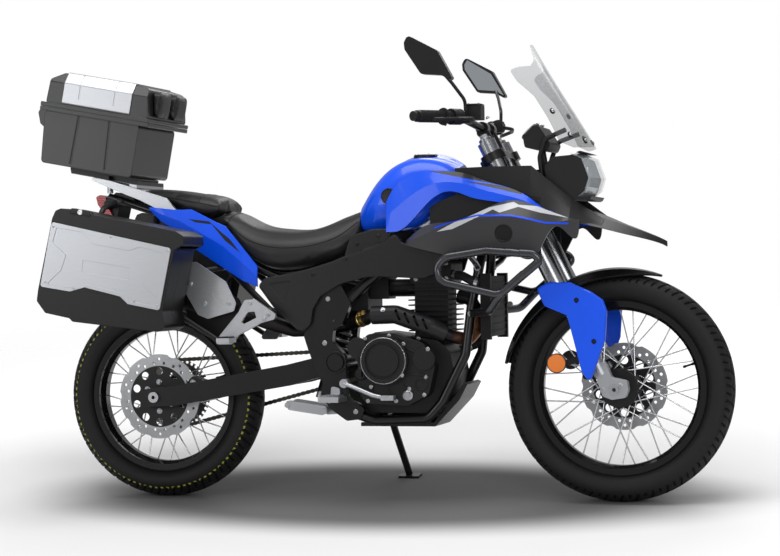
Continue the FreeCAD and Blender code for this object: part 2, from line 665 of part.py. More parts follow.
def make_shock():
    """Damper with its upper eye and the turns of its spring."""
    low = V(488, 0, 300)
    high = V(SHOCK_TOP_X, 0, SHOCK_TOP_Z)
    along = unit(high - low)
    eye = disc_y(SHOCK_TOP_X, SHOCK_TOP_Z, 18, -14, 14)
    parts = [rod(low, high, 15), eye]
    for i in range(8):
        centre = low + along * (84 + 22 * i)
        parts.append(Part.makeTorus(30, 5.5, centre, along))
        parts.append(rod(centre - along * 2, centre + along * 2, 29))
    return joined(parts).cut(disc_y(SHOCK_TOP_X, SHOCK_TOP_Z, 9 + SEAT_GAP, -20, 20))


def make_link():
    """Dog-bone links and rocker below the shock."""
    arm = plate([(LINK_X - 208, 292), (LINK_X - 202, 266), (LINK_X - 94, 250), (LINK_X - 76, 262),
                 (LINK_X - 84, 278), (LINK_X - 196, 294)], 30, 42, 8)
    rocker = plate([(486, 316), (510, 250), (LINK_X + 14, 256), (LINK_X + 14, 282), (520, 322)], -12, 12, 8)
    bolt = disc_y(511, 262, 9, -44, 44)
    bridge = disc_y(LINK_X - 204, 280, 8, -44, 44)
    hole = disc_y(LINK_X, LINK_Z, 8 + SEAT_GAP, -20, 20)
    return joined([arm, mirrored(arm), bolt, bridge, rocker.cut(hole)])


def make_engine():
    """Crankcase with side cases, sprocket, clutch cover, cylinder and intake."""
    case = plate([(640, 300), (664, 262), (850, 260), (905, 300), (926, 380), (915, 440), (880, 474),
                  (800, 486), (690, 500), (650, 480), (632, 430)], -96, 96, 20)
    right = plate([(650, 330), (672, 292), (800, 286), (862, 318), (882, 400), (850, 468), (760, 498),
                   (676, 496), (650, 440)], -150, -96, 26)
    left = plate([(700, 330), (720, 290), (840, 290), (888, 340), (888, 420), (840, 470), (710, 476)],
                 96, 140, 26)
    cover = plate([(640, 360), (690, 340), (740, 360), (740, 460), (660, 466), (634, 440)], 92, 112, 16)
    pocket = plate([(600, 340), (655, 352), (700, 372), (712, 410), (700, 450), (655, 466), (600, 460)], 64, 92, 0)
    x = FRONT_SPROCKET_X
    z = FRONT_SPROCKET_Z
    teeth = joined([disc_y(x, z, FRONT_SPROCKET_R + 3, CHAIN_Y - 3, CHAIN_Y + 3), disc_y(x, z, 14, 60, 96)])
    alternator = disc_y(800, 382, 72, 140, 160)
    solid = joined([case, right, left, alternator, make_clutch_cover(), make_cylinder(), make_intake()])
    return joined([solid.cut(pocket), teeth, cover])


def make_clutch_cover():
    """Round cover with a raised ring on the right crankcase, and the two smaller caps beside it."""
    plain = disc_y(732, 418, 72, -166, -150.0)
    ring = ring_y(732, 418, 68, 55, -172, -166)
    caps = [disc_y(650, 456, 30, -157, -148), disc_y(850, 422, 33, -156, -148)]
    return joined([plain, ring, disc_y(732, 418, 46, -170, -166)] + caps)


def make_cylinder():
    """Finned cylinder and head with a rocker cover."""
    pieces = [block(800, 900, -55, 55, 466, 690)]
    for i in range(9):
        z = 500 + 15 * i
        pieces.append(block(785, 918, -72, 72, z, z + 4))
    pieces.append(plate([(790, 640), (915, 640), (915, 700), (890, 726), (815, 726), (790, 700)], -72, 72, 12))
    return joined(pieces)


def make_intake():
    """Intake stub, throttle body and air box."""
    stub = rod(V(796, 0, 628), V(715, 0, 628), 26)
    body = block(660, 716, -42, 42, 596, 660)
    box = block(604, 664, -80, 80, 562, 672)
    return joined([stub, body, box])


HEADER_R = 19.0
# The header's straight run beside the engine, from its front end to its rear end
HEADER_RUN = [(922, -102, 486), (868, -126, 514), (760, -128, 552), (690, -124, 550)]
HEAT_SHIELD_END = (905, -110, 495)


def make_exhaust():
    """Header pipe from the head, round inside the right tube and back to the silencer."""
    path = [(921.4, -10, 600), (958, -12, 594), (978, -18, 558), (982, -36, 504), (962, -62, 474), *HEADER_RUN,
            (600, -66, 522), (520, -72, 508), (440, -104, 506), (372, -146, 530), (290, -178, 566)]
    return joined([tube(path, HEADER_R, 30), make_muffler()])


def make_heat_shield():
    """Slotted outer half of a tube around the header, on one post."""
    run = [HEADER_RUN[-1], *HEADER_RUN[-2:0:-1], HEAT_SHIELD_END]
    sleeve = tube(run, HEADER_R + 8, 30).cut(tube(run, HEADER_R + 5, 30))
    sleeve = sleeve.common(block(600, 1000, -180, -126, 400, 640))
    slots = []
    for i in range(4):
        x = 762 + 27 * i
        z = 566 - 9 * i
        slots.append(plate([(x, z), (x + 7, z + 2), (x + 22, z - 30), (x + 15, z - 32)], -180, -120, 3))
    x, y, z = HEADER_RUN[-2]
    post = rod(V(x - 32, y - HEADER_R + 1.5, z), V(x - 32, y - HEADER_R - 6.5, z), 5)
    return joined([sleeve.cut(slots), post])


def make_muffler():
    """Oval silencer that rises to the rear inside the right case, and the round chamber ahead of it."""
    start = V(290, -176, 566)
    end = V(-120, -180, 700)
    along = unit(end - start)
    turn = FreeCAD.Rotation(V(0, 0, 1), V(0, 1, 0), along, "ZYX")
    ellipse = Part.Wire(Part.Ellipse(V(0, 0, 0), 52, 34).toShape())
    oval = Part.Face(ellipse).extrude(V(0, 0, (end - start).Length - 60))
    oval.transformShape(FreeCAD.Placement(start + along * 60, turn).toMatrix(), True)
    shape = [(130, 616), (145, 527), (176, 500), (223, 488), (277, 512), (302, 561), (288, 604), (200, 644)]
    chamber = plate(shape, -200, -150, 24)
    tip = rod(end - along * 2, end + along * 30, 22)
    return joined([chamber, oval, tip])


def make_exhaust_shields():
    """The slotted guard by the engine and the bright one on the silencer."""
    shape = [(147, 714), (182, 714), (274, 654), (304, 592), (297, 568), (216, 546), (185, 558), (143, 629)]
    y = SILENCER_SHIELD_Y
    opening = plate([(228, 622), (242, 626), (266, 588), (254, 583)], -y - 1, 1 - y, 3)
    bright = plate(shape, -y, 3 - y, 10).cut(opening)
    post = rod(V(206, 2.5 - y, 592), V(206, -211.1, 592), 8)
    return Part.makeCompound([make_heat_shield(), joined([bright, post])])


def make_radiator():
    """Finned core between two side tanks."""
    x = RADIATOR_X
    core = block(x + 5, x + 25, -104, 104, 484, 660)
    tanks = [block(x, x + 30, -122, -104, 476, 668), block(x, x + 30, 104, 122, 476, 668)]
    fins = [block(x + 2, x + 28, -104, 104, 498 + 20 * i, 501 + 20 * i) for i in range(8)]
    lugs = [rod(V(x + 6, y, 620), V(x - 8.6, y, 620), 6) for y in (-87.8, 87.8)]
    return joined([core] + tanks + fins + lugs)


def make_skid_plate():
    """Bent plate under the crankcase that turns up ahead of it."""
    shape = [(640, 222), (866, 222), (940, 300), (964, 345), (954, 350), (925, 310), (862, 233.7), (684, 232.7),
             (640, 232.7)]
    return plate(shape, -92, 92, 0)


def make_crash_bars():
    """Closed loops around the lower fairing, with a leg and a stay to each down tube."""
    loop = [(1160, 260, 724), (1063, 258, 733), (942, 254, 716), (914, 252, 686), (930, 254, 646), (1099, 258, 606),
            (1170, 256, 666)]
    nose = [(1120, 260, 728), (1200, 254, 722), (1216, 250, 702), (1099, 256, 606), (1060, 220, 560),
            (983.5, 111.8, 552)]
    stay = [(1010, 256, 726), (1010, 180, 704), (1002, 95, 684)]
    bar = joined([tube(loop, 11.5, 40), tube(nose, 12, 40), tube(stay, 9, 30)])
    return both(bar)


def make_footpeg():
    """Rider's peg on its lug, on the left."""
    peg = block(552, 614, 146.3, 236, 300, 314)
    lug = plate([(566, 300), (596, 300), (596, 336), (570, 344)], 146.3, 158, 6)
    return joined([peg, lug])


def make_brake_pedal():
    """Rear brake pedal, on the right."""
    lever = tube([(612, -166, 352), (650, -172, 338), (700, -176, 318), (745, -176, 308)], 6.5, 30)
    pad = block(730, 768, -196, -166, 304, 318)
    boss = disc_y(612, 352, 13, -172, -146.3)
    return joined([lever, pad, boss])


def make_gear_lever():
    """Gear lever with its shaft, on the left."""
    lever = tube([(674, 172, 374), (700, 176, 348), (740, 178, 312)], 6, 30)
    peg = disc_y(742, 312, 9, 170, 206)
    boss = disc_y(674, 374, 12, 160, 178)
    shaft = disc_y(674, 374, 7, 112.3, 160)
    return joined([lever, peg, boss, shaft])


def make_foot_controls():
    """Rider's pegs, brake pedal and gear lever."""
    left_peg = make_footpeg()
    return Part.makeCompound([left_peg, mirrored(left_peg), make_brake_pedal(), make_gear_lever()])


def make_passenger_pegs():
    """Cast brackets with one window each, and their folding pegs."""
    shape = [(326, 600), (357, 602), (421, 558), (418, 543), (375, 532), (306, 497), (284, 470), (228, 470),
             (250, 500), (307, 565)]
    y = PEG_BRACKET_Y
    window = plate([(336, 564), (356, 566), (362, 548), (322, 529), (314, 536)], y - 1, y + 13, 4)
    bracket = plate(shape, y, y + 12, 8).cut(window)
    peg = block(258, 298, y + 12, y + 74, 476, 490)
    arm = rod(V(372, 125.0, 566), V(386, y + 2, 560), 9)
    return both(joined([bracket, peg, arm]))


def make_side_stand():
    """Leg and foot, built out to the ground on the left."""
    leg = tube([tuple(STAND_PIVOT), (664, 202, 190), tuple(STAND_FOOT)], 11, 60)
    pad = block(-30, 34, -22, 24, STAND_GROUND, STAND_GROUND + 7)
    rock = FreeCAD.Placement(V(0, 0, 0), FreeCAD.Rotation(V(1, 0, 0), LEAN))
    tilt = math.radians(LEAN)
    pad.translate(V(STAND_FOOT.x, STAND_FOOT.y * math.cos(tilt) + STAND_FOOT.z * math.sin(tilt), 0))
    pad.transformShape(rock.toMatrix(), True)
    eye = rod(STAND_PIVOT - STAND_AXIS * 12, STAND_PIVOT + STAND_AXIS * 12, 18)
    hole = rod(STAND_PIVOT - STAND_AXIS * 50, STAND_PIVOT + STAND_AXIS * 50, STAND_PIN_R + SHAFT_GAP)
    return joined([leg, pad, eye]).cut(hole)


# Bodywork

BOSSES = [(920, 214, 790), (1080, 220, 800), (1160, 216, 780), (960, 178, 905), (1090, 184, 892)]


def make_tank():
    """Fuel tank: full shoulders, a knee recess and a low rear tongue."""
    return loft([
        round_section(640.3, [(0, 876), (42, 870), (62, 850), (62, 828), (48, 806), (0, 800)]),
        round_section(690, [(0, 946), (68, 934), (104, 892), (104, 846), (84, 806), (0, 800)]),
        round_section(740, [(0, 992), (82, 975), (118, 916), (118, 850), (96, 806), (0, 800)]),
        round_section(800, [(0, 1016), (90, 996), (122, 930), (122, 860), (100, 812), (0, 806)]),
        round_section(880, [(0, 1014), (90, 993), (122, 930), (118, 888), (96, 862), (0, 856)]),
        round_section(940, [(0, 988), (72, 970), (104, 926), (100, 904), (80, 892), (0, 888)])])


def make_blue_panels():
    """Blue side panels: shrouds from the tank to the beak, and the tail's flanks."""
    shroud = make_shroud()
    tail = make_tail_panel()
    return Part.makeCompound([shroud, mirrored(shroud), tail, mirrored(tail)])


def make_shroud():
    """Upper side panel, with the boss that seats it on the tank."""
    boss = rod(V(840, 124.3, 930), V(840, 162, 930), 7)
    side = skin([
        (742, [(146, 880), (152, 840), (154, 792)]),
        (800, [(156, 950), (168, 880), (168, 803)]),
        (868, [(163, 968), (180, 920), (182, 866)]),
        (930, [(167, 966), (188, 932), (190, 904)]),
        (1004, [(171, 950), (192, 920), (194, 887)]),
        (1090, [(176, 919), (196, 894), (198, 870)]),
        (1148, [(179, 898), (196, 878), (197, 858)]),
        (1187, [(180, 871), (194, 860), (196, 850)]),
        (1240, [(182, 843), (188, 840.5), (190, 838)])], 12)
    return joined([side, boss])


def make_side_covers():
    """Lower fairing covers: a narrow upper facet that widens forwards, a crease, and the flank below."""
    side = skin([
        (815, [(196, 767), (206, 760), (206, 752)]),
        (850, [(202, 795), (226, 772), (214, 743)]),
        (895, [(205, 813), (234, 790), (217, 732)]),
        (952, [(208, 818), (238, 811), (220, 720)]),
        (1040, [(206, 848), (239, 826), (222, 727)]),
        (1133, [(204, 875), (237, 829), (222, 722)]),
        (1187, [(204, 862), (229, 817), (216, 709)]),
        (1226, [(202, 846), (217, 808), (212, 768)]),
        (1270, [(198, 829), (207, 812), (205, 793)]),
        (1318, [(194, 818), (200, 809), (197, 800)])], 9)
    return both(side)


def make_inner_fairing():
    """Black inner panels: the dark recess behind the covers, and the bosses that carry the outer panels."""
    recess = skin([
        (876, [(158, 862), (160, 800), (160, 742)]),
        (960, [(158, 898), (160, 820), (160, 740)]),
        (1100, [(158, 906), (160, 800), (160, 726)]),
        (1200, [(158, 884), (160, 800), (160, 720)])], 10)
    bosses = [rod(V(x, 156, z), V(x, y, z), 7) for x, y, z in BOSSES]
    return both(joined([recess] + bosses))


def make_beak():
    """Nose over the front wheel, an upturned V in section, with the wings that sweep back round the lamp."""
    def section(x, half, top, edge):
        t = 7
        outer = [V(x, -half, edge), V(x, -0.45 * half, (top + edge) / 2 + 12), V(x, 0, top),
                 V(x, 0.45 * half, (top + edge) / 2 + 12), V(x, half, edge)]
        inner = [V(x, half - t, edge), V(x, 0.4 * half, (top + edge) / 2 + 12 - t), V(x, 0, top - t),
                 V(x, -0.4 * half, (top + edge) / 2 + 12 - t), V(x, t - half, edge)]
        return Part.makePolygon(outer + inner + outer[:1])
    nose = loft([section(1310, 176, 850, 806), section(1371, 142, 828, 792), section(1440, 84, 796, 772),
                 section(1500, 36, 766, 755), section(1540, 9, 744, 739)])
    wing = skin([
        (950, [(149, 973), (150.5, 969), (151, 962)]),
        (1040, [(147, 975), (150, 950), (153, 926)]),
        (1171, [(140, 975), (150, 930), (157, 880)]),
        (1214, [(132, 938), (148, 892), (162, 846)]),
        (1285, [(116, 879), (146, 850), (172, 820)]),
        (1371, [(80, 818), (110, 806), (138, 793)])], 6, True)
    return joined([nose, wing, mirrored(wing)])


def lens_block(front, back):
    """The lamp's raked front, from a depth behind its surface to one ahead of it."""
    def section(y, sweep):
        face = [(1306, 1011), (1342, 994), (1362, 938), (1350, 900), (1330, 885)]
        points = [(x + front, z) for x, z in face] + [(x - back, z) for x, z in reversed(face)]
        corners = [V(x - sweep, y, z) for x, z in points]
        return Part.makePolygon(corners + corners[:1])
    return loft([section(y, LENS_SWEEP * (y / LAMP_HALF) ** 2) for y in (-140, -70, 0, 70, 140)])


def make_headlight_shell():
    """Black lamp housing with an open front and two lamp bowls."""
    side = [(1204, 972), (1225, 1000), (1280, 1004), (1308, 1016), (1352, 1000), (1370, 940), (1334, 872),
            (1228, 880), (1210, 930)]
    body = plate(side, -LAMP_HALF - 12, LAMP_HALF + 12, 12)
    hollow = plate([(1262, 990), (1300, 1004), (1400, 990), (1400, 890), (1268, 894)], -LAMP_HALF, LAMP_HALF, 6)
    shell = body.cut([hollow, lens_block(80, LENS_THICK + SEAT_GAP)])
    bowls = []
    for y in (-48, 48):
        cone = Part.makeCone(24, 42, 34, V(1260, y, 945), V(1, 0, 0))
        bowls.append(cone.cut(Part.makeCone(20, 39, 33, V(1266, y, 945), V(1, 0, 0))))
    return joined([shell] + bowls)


def make_headlight_lens():
    """Clear cover of the lamp, raked with the nose."""
    half = LAMP_HALF + 8
    return lens_block(0, LENS_THICK).common(block(1200, 1400, -half, half, 800, 1100))


def make_windscreen():
    """Tall curved screen with a central peak and swept-back lobes."""
    def section(x, z, drop, half):
        outer = Part.Arc(V(x - drop, -half, z), V(x, 0, z), V(x - drop, half, z))
        back = x - SCREEN_THICK
        inner = Part.Arc(V(back - drop, half, z), V(back, 0, z), V(back - drop, -half, z))
        return Part.Wire([outer.toShape(), Part.LineSegment(outer.EndPoint, inner.StartPoint).toShape(),
                          inner.toShape(), Part.LineSegment(inner.EndPoint, outer.StartPoint).toShape()])
    sheet = loft([section(1345, 1010, 96, 165), section(1286, 1110, 100, 182), section(1232, 1197, 104, 190),
                  section(1146, 1345, 96, 190)])
    half = [(0, 1334), (22, 1332), (38, 1312), (60, 1284), (100, 1264), (148, 1258), (172, 1248), (170, 1214),
            (150, 1172), (148, 1110), (150, 1040), (120, 1024), (0, 1030)]
    shape = half + [(-y, z) for y, z in reversed(half[1:-1])]
    keep = Part.Face(outline(shape, to_yz(1000), 14)).extrude(V(500, 0, 0))
    return sheet.common(keep)


def make_cockpit():
    """Frame ahead of the head tube that carries screen and lamp, with the gauges on it."""
    front = on_fork(132, 0, -100)
    spine = raked(block(HEAD_R + SEAT_GAP, 136, -16, 16, -116, -84))
    cross = rod(V(front.x, -84, front.z), V(front.x, 84, front.z), 8)
    arm = tube([(front.x, 84, front.z), (1187, 88, 1000), (1204, 98, 1052), (1267.8, 109, 1076.2)], 7, 30)
    lug = block(front.x - 4, 1204.3, 40, 60, 948, 966)
    stay = tube([(front.x, 0, front.z), (1184, 0, 990), (1176, 0, 1036)], 9, 30)
    return joined([spine, cross, arm, mirrored(arm), lug, mirrored(lug), stay, make_gauges()])


def make_gauges():
    """Housing of the gauges."""
    shape = [(1136, 1064), (1168, 1094), (1184, 1092), (1218, 1040), (1208, 1018), (1142, 1030)]
    return plate(shape, -82, 82, 10)


def make_rider_seat():
    """Saddle: a raised rear edge, a dished middle and a narrow nose up the tank."""
    return loft([
        round_section(222, [(0, 872), (78, 864), (108, 854), (114, 846), (92, 838), (0, 836)]),
        round_section(254, [(0, 862), (84, 852), (122, 828), (126, 806), (102, 793), (0, 790)]),
        round_section(316, [(0, 824), (88, 816), (134, 784), (138, 742), (112, 724), (0, 722)]),
        round_section(400, [(0, 807), (90, 799), (142, 764), (144, 710), (116, 688), (0, 686)]),
        round_section(490, [(0, 808), (84, 800), (132, 768), (136, 720), (110, 700), (0, 698)]),
        round_section(570, [(0, 840), (66, 825), (104, 790), (112, 746), (94, 724), (0, 720)]),
        round_section(640, [(0, 866), (44, 855), (64, 834), (68, 806), (50, 790), (0, 786)])])


def make_pillion_seat():
    """Passenger's seat, from below the top box to the saddle's rear edge."""
    return loft([
        round_section(-80, [(0, 929), (44, 927), (66, 918), (66, 905), (50, 899), (0, 898)]),
        round_section(-17, [(0, 934), (64, 930), (90, 917), (90, 902), (70, 892), (0, 890)]),
        round_section(42, [(0, 931), (72, 927), (98, 912), (98, 896), (78, 887), (0, 885)]),
        round_section(113, [(0, 922), (86, 916), (116, 898), (118, 878), (98, 868), (0, 866)]),
        round_section(180, [(0, 911), (90, 905), (120, 884), (122, 862), (102, 850), (0, 848)]),
        round_section(219, [(0, 899), (84, 892), (112, 878), (114, 866), (94, 860), (0, 858)])])


def make_tail_panel():
    """Blue flank below the passenger's seat, pointed at its rear, with the boss that seats it on the seat rail."""
    side = skin([
        (0, [(132.6, 881), (134, 878), (132.6, 873)]),
        (36, [(134, 877), (136, 860), (134, 838)]),
        (68, [(133, 873), (138, 848), (136, 820)]),
        (100, [(133, 871), (142, 838), (140, 802)]),
        (132, [(134, 872), (145, 820), (142, 762)]),
        (170, [(134, 853), (148, 798), (143, 738)]),
        (211, [(135, 832), (150, 776), (146, 712)]),
        (240, [(138, 820), (151, 758), (148, 693)]),
        (300, [(144, 750), (152, 708), (150, 655)]),
        (342, [(144, 698), (148, 668), (146, 638)])], 8, True)
    boss = rod(V(215, 116.6, 778), V(215, 144, 778), 7)
    return joined([side, boss])


def make_tail_base():
    """Long tray under both seats."""
    return plate([(-172, 900), (-130, 930), (30, 892), (216, 872), (222, 820), (300, 760), (400, 700),
                  (480, 706), (590, 740), (590, 700), (480, 676), (400, 664), (290, 718), (190, 786), (60, 840),
                  (-118, 894), (-165, 880)], -76, 76, 0)


def make_tail_tray():
    """Black tray under the seats, with the rear mudguard, blank plate and indicators."""
    seats = [make_rider_seat(), make_pillion_seat()]
    seats += [s.translated(V(0, 0, -SEAT_GAP)) for s in seats]
    lamps = make_indicator()
    return joined([make_tail_base().cut(seats), make_rear_mudguard(), make_plate_holder(), lamps, mirrored(lamps)])


def make_frame_covers():
    """Satin black side covers below the seat, bevelled round their edges and with one pressed triangle each."""
    shape = [(348, 640), (368, 664), (425, 673), (492, 686), (572, 708), (633, 730), (725, 761), (770, 790),
             (791, 762), (871, 738), (919, 726), (903, 676), (858, 657), (813, 658), (723, 665), (678, 662),
             (601, 643), (540, 608), (515, 568), (508, 524), (486, 503), (467, 509), (400, 569)]
    y = PIVOT_PLATE_Y + PIVOT_PLATE_THICK + SEAT_GAP
    bevel = loft([outline(shape, to_xz(y + 8), 12), outline(shrunk(shape, 5), to_xz(y + 12), 12)], True)
    pressed = plate([(378, 645), (450, 654), (430, 588)], y + 10, y + 13, 5)
    boss = rod(V(480, 117, 665.3), V(480, y + 4, 665.3), 7)
    cover = joined([plate(shape, y, y + 8, 12), bevel, boss]).cut(pressed)
    trim = make_tank_trim()
    return Part.makeCompound([cover, mirrored(cover), trim, mirrored(trim)])


def make_tank_trim():
    """Dark trim below the tank's flanks."""
    shape = [(632, 784), (700, 802), (764, 802), (744, 768), (662, 737), (610, 716)]
    return plate(shape, 134, 146, 6)


def make_tail_lamp():
    """Upright red lamp behind the tail's end."""
    shape = [(-203, 918), (-189, 924), (-172, 919), (-162, 882), (-146, 855), (-168, 856), (-197, 894)]
    return plate(shape, -60, 60, 5)


def make_racks():
    """Luggage rack with the top box's plate, and the side cases' hoops."""
    hoop = make_case_rack()
    return Part.makeCompound([joined([make_rack(), make_box_plate()]), hoop, mirrored(hoop)])


def make_rack():
    """Cast luggage rack: two side rails with cross bars, on two posts."""
    rail_shape = [(-191, 968), (-181, 977), (-126, 963), (-52, 940), (48, 908), (104, 847), (104, 835), (85, 823),
                  (72, 841), (28, 872), (-36, 904), (-100, 929)]
    rail = plate(rail_shape, 110.6, 124, 6)
    bars = [block(x - 12, x + 12, -112, 112, z0, z1) for x, z0, z1 in ((-150, 955, 979), (-60, 940, 961))]
    posts = [rod(V(-146, s * 82, 927.5), V(-146, s * 82, 958), 9) for s in (-1, 1)]
    return joined([rail, mirrored(rail)] + bars + posts)


# Luggage

CASE_PLACE = FreeCAD.Placement(V(-254, 0, 603), FreeCAD.Rotation(V(0, 1, 0), 12.0))
BOX_PLACE = FreeCAD.Placement(V(-343, 0, 1025), FreeCAD.Rotation(V(0, 1, 0), 10.8))
CASE_OUTLINE = [(35, -25), (2, 4), (0, 36), (4, 250), (10, 274), (26, 284), (386, 286), (412, 277), (419, 252),
                (393, 232), (391, 52), (408, 8), (388, -9), (124, -33), (112, -25)]
CASE_FACE = [(6, 240), (384, 235), (383, 53), (284, 52), (256, 69), (143, 73), (100, 52), (6, 48)]
CASE_FIELD = [(24, 226), (107, 229), (144, 201), (260, 204), (288, 221), (368, 217), (364, 186), (323, 160),
              (320, 112), (365, 89), (365, 62), (290, 62), (262, 80), (138, 83), (94, 62), (24, 58), (62, 108),
              (68, 153), (20, 182)]
CASE_LABEL = [(123, 150), (270, 155), (271, 120), (126, 115)]
BOX_LOW = [(0, 0), (297, 0), (297, 160), (-14, 160)]
BOX_HIGH = [(-10, 180), (325, 180), (308, 273), (266, 279), (31, 279), (-6, 256)]
BOX_RIM = [(-24, 158), (332, 158), (332, 170.5), (-24, 170.5)]
BOX_SECTION = [(-160, 60), (-160, 248), (-140, 279), (140, 279), (160, 248), (160, 60)]


def pitched(shape, place):
    """The shape in its case's or box's own place on the machine."""
    turned = shape.copy()
    turned.transformShape(place.toMatrix(), True)
    return turned


def on_side(shape, side):
    """A left-hand case piece, placed on its side of the machine."""
    placed = pitched(shape, CASE_PLACE)
    return placed if side > 0 else mirrored(placed)


def case_half(y0, y1, closed_at, wall):
    """One hollow half of a case, closed on one side."""
    outer = plate(CASE_OUTLINE, y0, y1, 10)
    low = y0 + wall if closed_at == y0 else y0 - 1
    high = y1 - wall if closed_at == y1 else y1 + 1
    return outer.cut(plate(shrunk(CASE_OUTLINE, wall), low, high, 8))


def make_case_shell(side):
    """Inner half of a side case, open outwards."""
    return on_side(case_half(CASE_INNER_Y, CASE_SPLIT_Y - LID_GAP / 2, CASE_INNER_Y, CASE_WALL), side)


def make_case_lid(side):
    """Outer half of a side case, with its latch over the top edge."""
    lid = case_half(CASE_SPLIT_Y + LID_GAP / 2, CASE_OUTER_Y, CASE_OUTER_Y, CASE_WALL)
    latch = plate([(54, 276), (60, 291), (116, 292), (122, 278)], CASE_OUTER_Y - 24, CASE_OUTER_Y + 3, 3)
    return on_side(joined([lid, latch]), side)


def make_case_face(side):
    """Bright plate on a lid's outer face, with a pressed field and a blank label's recess."""
    y = CASE_OUTER_Y + SEAT_GAP
    face = plate(CASE_FACE, y, y + PANEL_THICK, 8)
    pressed = plate(CASE_FIELD, y + PANEL_THICK - 1.4, y + PANEL_THICK + 1, 4)
    label = plate(CASE_LABEL, y + PANEL_THICK - 2.2, y + PANEL_THICK + 1, 3)
    return on_side(face.cut([pressed, label]), side)


def make_case_rack():
    """Tube hoop that carries a side case, and the leg that ties its front to the seat strut."""
    y = CASE_INNER_Y - 8.5
    hoop = tube([(-110, 96.6, 903), (-118, y, 876), (-150, y, 640), (140, y, 548), (240, y, 486)], 8, 40)
    leg = tube([(126, y, 552), (118, y, 600), (124, y, 664), (170, 180, 686), (236, 118, 698)], 8, 30)
    return joined([hoop, leg])


def across_box(points, x0, x1):
    """Solid whose outline lies across the machine, from x0 to x1."""
    return Part.Face(outline(points, to_yz(x0), 6)).extrude(V(x1 - x0, 0, 0))


def make_box_shell():
    """Lower half of the top box, open upwards, with a rim and two pressed grooves on each side."""
    outer = plate(BOX_LOW, -BOX_HALF, BOX_HALF, 12)
    rim = plate(BOX_RIM, -BOX_RIM_HALF, BOX_RIM_HALF, 3)
    w = BOX_WALL
    hollow = plate([(w, w), (297 - w, w), (297 - w, 200), (-14, 200)], w - BOX_HALF, BOX_HALF - w, 0)
    lines = [[(93, 10), (97, 158), (103, 158), (99, 10)], [(206, 10), (198, 158), (204, 158), (212, 10)]]
    grooves = [plate(line, s * BOX_HALF - 2, s * BOX_HALF + 2, 0) for s in (-1, 1) for line in lines]
    return pitched(joined([outer, rim]).cut([hollow] + grooves), BOX_PLACE)


def make_box_cover():
    """The lid's outer form, chamfered along both sides."""
    return plate(BOX_HIGH, -BOX_LID_HALF, BOX_LID_HALF, 10).common(across_box(BOX_SECTION, -60, 400))


def make_box_lid():
    """Lid of the top box, open downwards, with its rim and a lock at the rear."""
    cover = make_box_cover()
    rim = plate([(x, z + 12.5 + LID_GAP) for x, z in BOX_RIM], -BOX_RIM_HALF, BOX_RIM_HALF, 3)
    shape = [(-20, 172), (-25.5, 172), (-25.5, 112), (-45, 103), (-64, 115), (-76, 148), (-62, 181), (-20, 182)]
    lock = plate(shape, -58, 58, 4)
    w = BOX_WALL
    low = [(x, 100 if z < 200 else z) for x, z in shrunk(BOX_HIGH, w)]
    inside = [(y * (1 - w / BOX_LID_HALF), z - w) for y, z in BOX_SECTION]
    hollow = plate(low, w - BOX_LID_HALF, BOX_LID_HALF - w, 0).common(across_box(inside, -60, 400))
    return pitched(joined([cover, rim, lock]).cut(hollow), BOX_PLACE)


def make_box_panel():
    """Bright band over the lid's sides and roof, with a groove near each end."""
    over = PANEL_THICK + SEAT_GAP
    outer = [(-163.3, 185), (-163.3, 249), (-141.8, 282.3), (141.8, 282.3), (163.3, 249), (163.3, 185)]
    inner = [(-160.3, 170), (-160.3, 248.1), (-140.2, 279.3), (140.2, 279.3), (160.3, 248.1), (160.3, 170)]
    band = across_box(outer, 43, 264).cut(across_box(inner, 40, 268))
    grooves = []
    for x in (94, 208):
        frame = across_box([(y * 1.1, z * 1.1) for y, z in outer], x, x + 5)
        grooves.append(frame.cut(across_box([(y * (1 - 1.2 / 163), z - 1.2) for y, z in outer], x - 1, x + 6)))
    return pitched(band.cut(grooves), BOX_PLACE)


def make_backrest():
    """Two pads on the lid's front face."""
    pad = Part.Face(outline([(14, 187), (14, 270), (122, 270), (122, 187)], to_yz(310), 22)).extrude(V(28, 0, 0))
    return both(pitched(pad.cut(make_box_cover()), BOX_PLACE))


def make_box_plate():
    """Mounting plate between the rack and the top box."""
    return pitched(plate([(78, -20), (288, -20), (295, -0.3), (71, -0.3)], -90, 90, 4), BOX_PLACE)


def make_rear_mudguard():
    """Inner mudguard with a blank plate holder at its end."""
    return plate([(-150, 900), (-128, 900), (-190, 640), (-204, 646)], -50, 50, 4)


def make_plate_holder():
    """Board behind the blank number plate."""
    return plate([(-212, 760), (-164, 760), (-190, 640), (-236, 610), (-240, 610)], -88, 88, 0)


def make_indicator():
    """Round indicator on its stalk, on the left."""
    stalk = rod(V(-166, 40, 800), V(-166, 150, 800), 6)
    lamp = Part.makeSphere(20, V(-166, 160, 800))
    return joined([stalk, lamp])


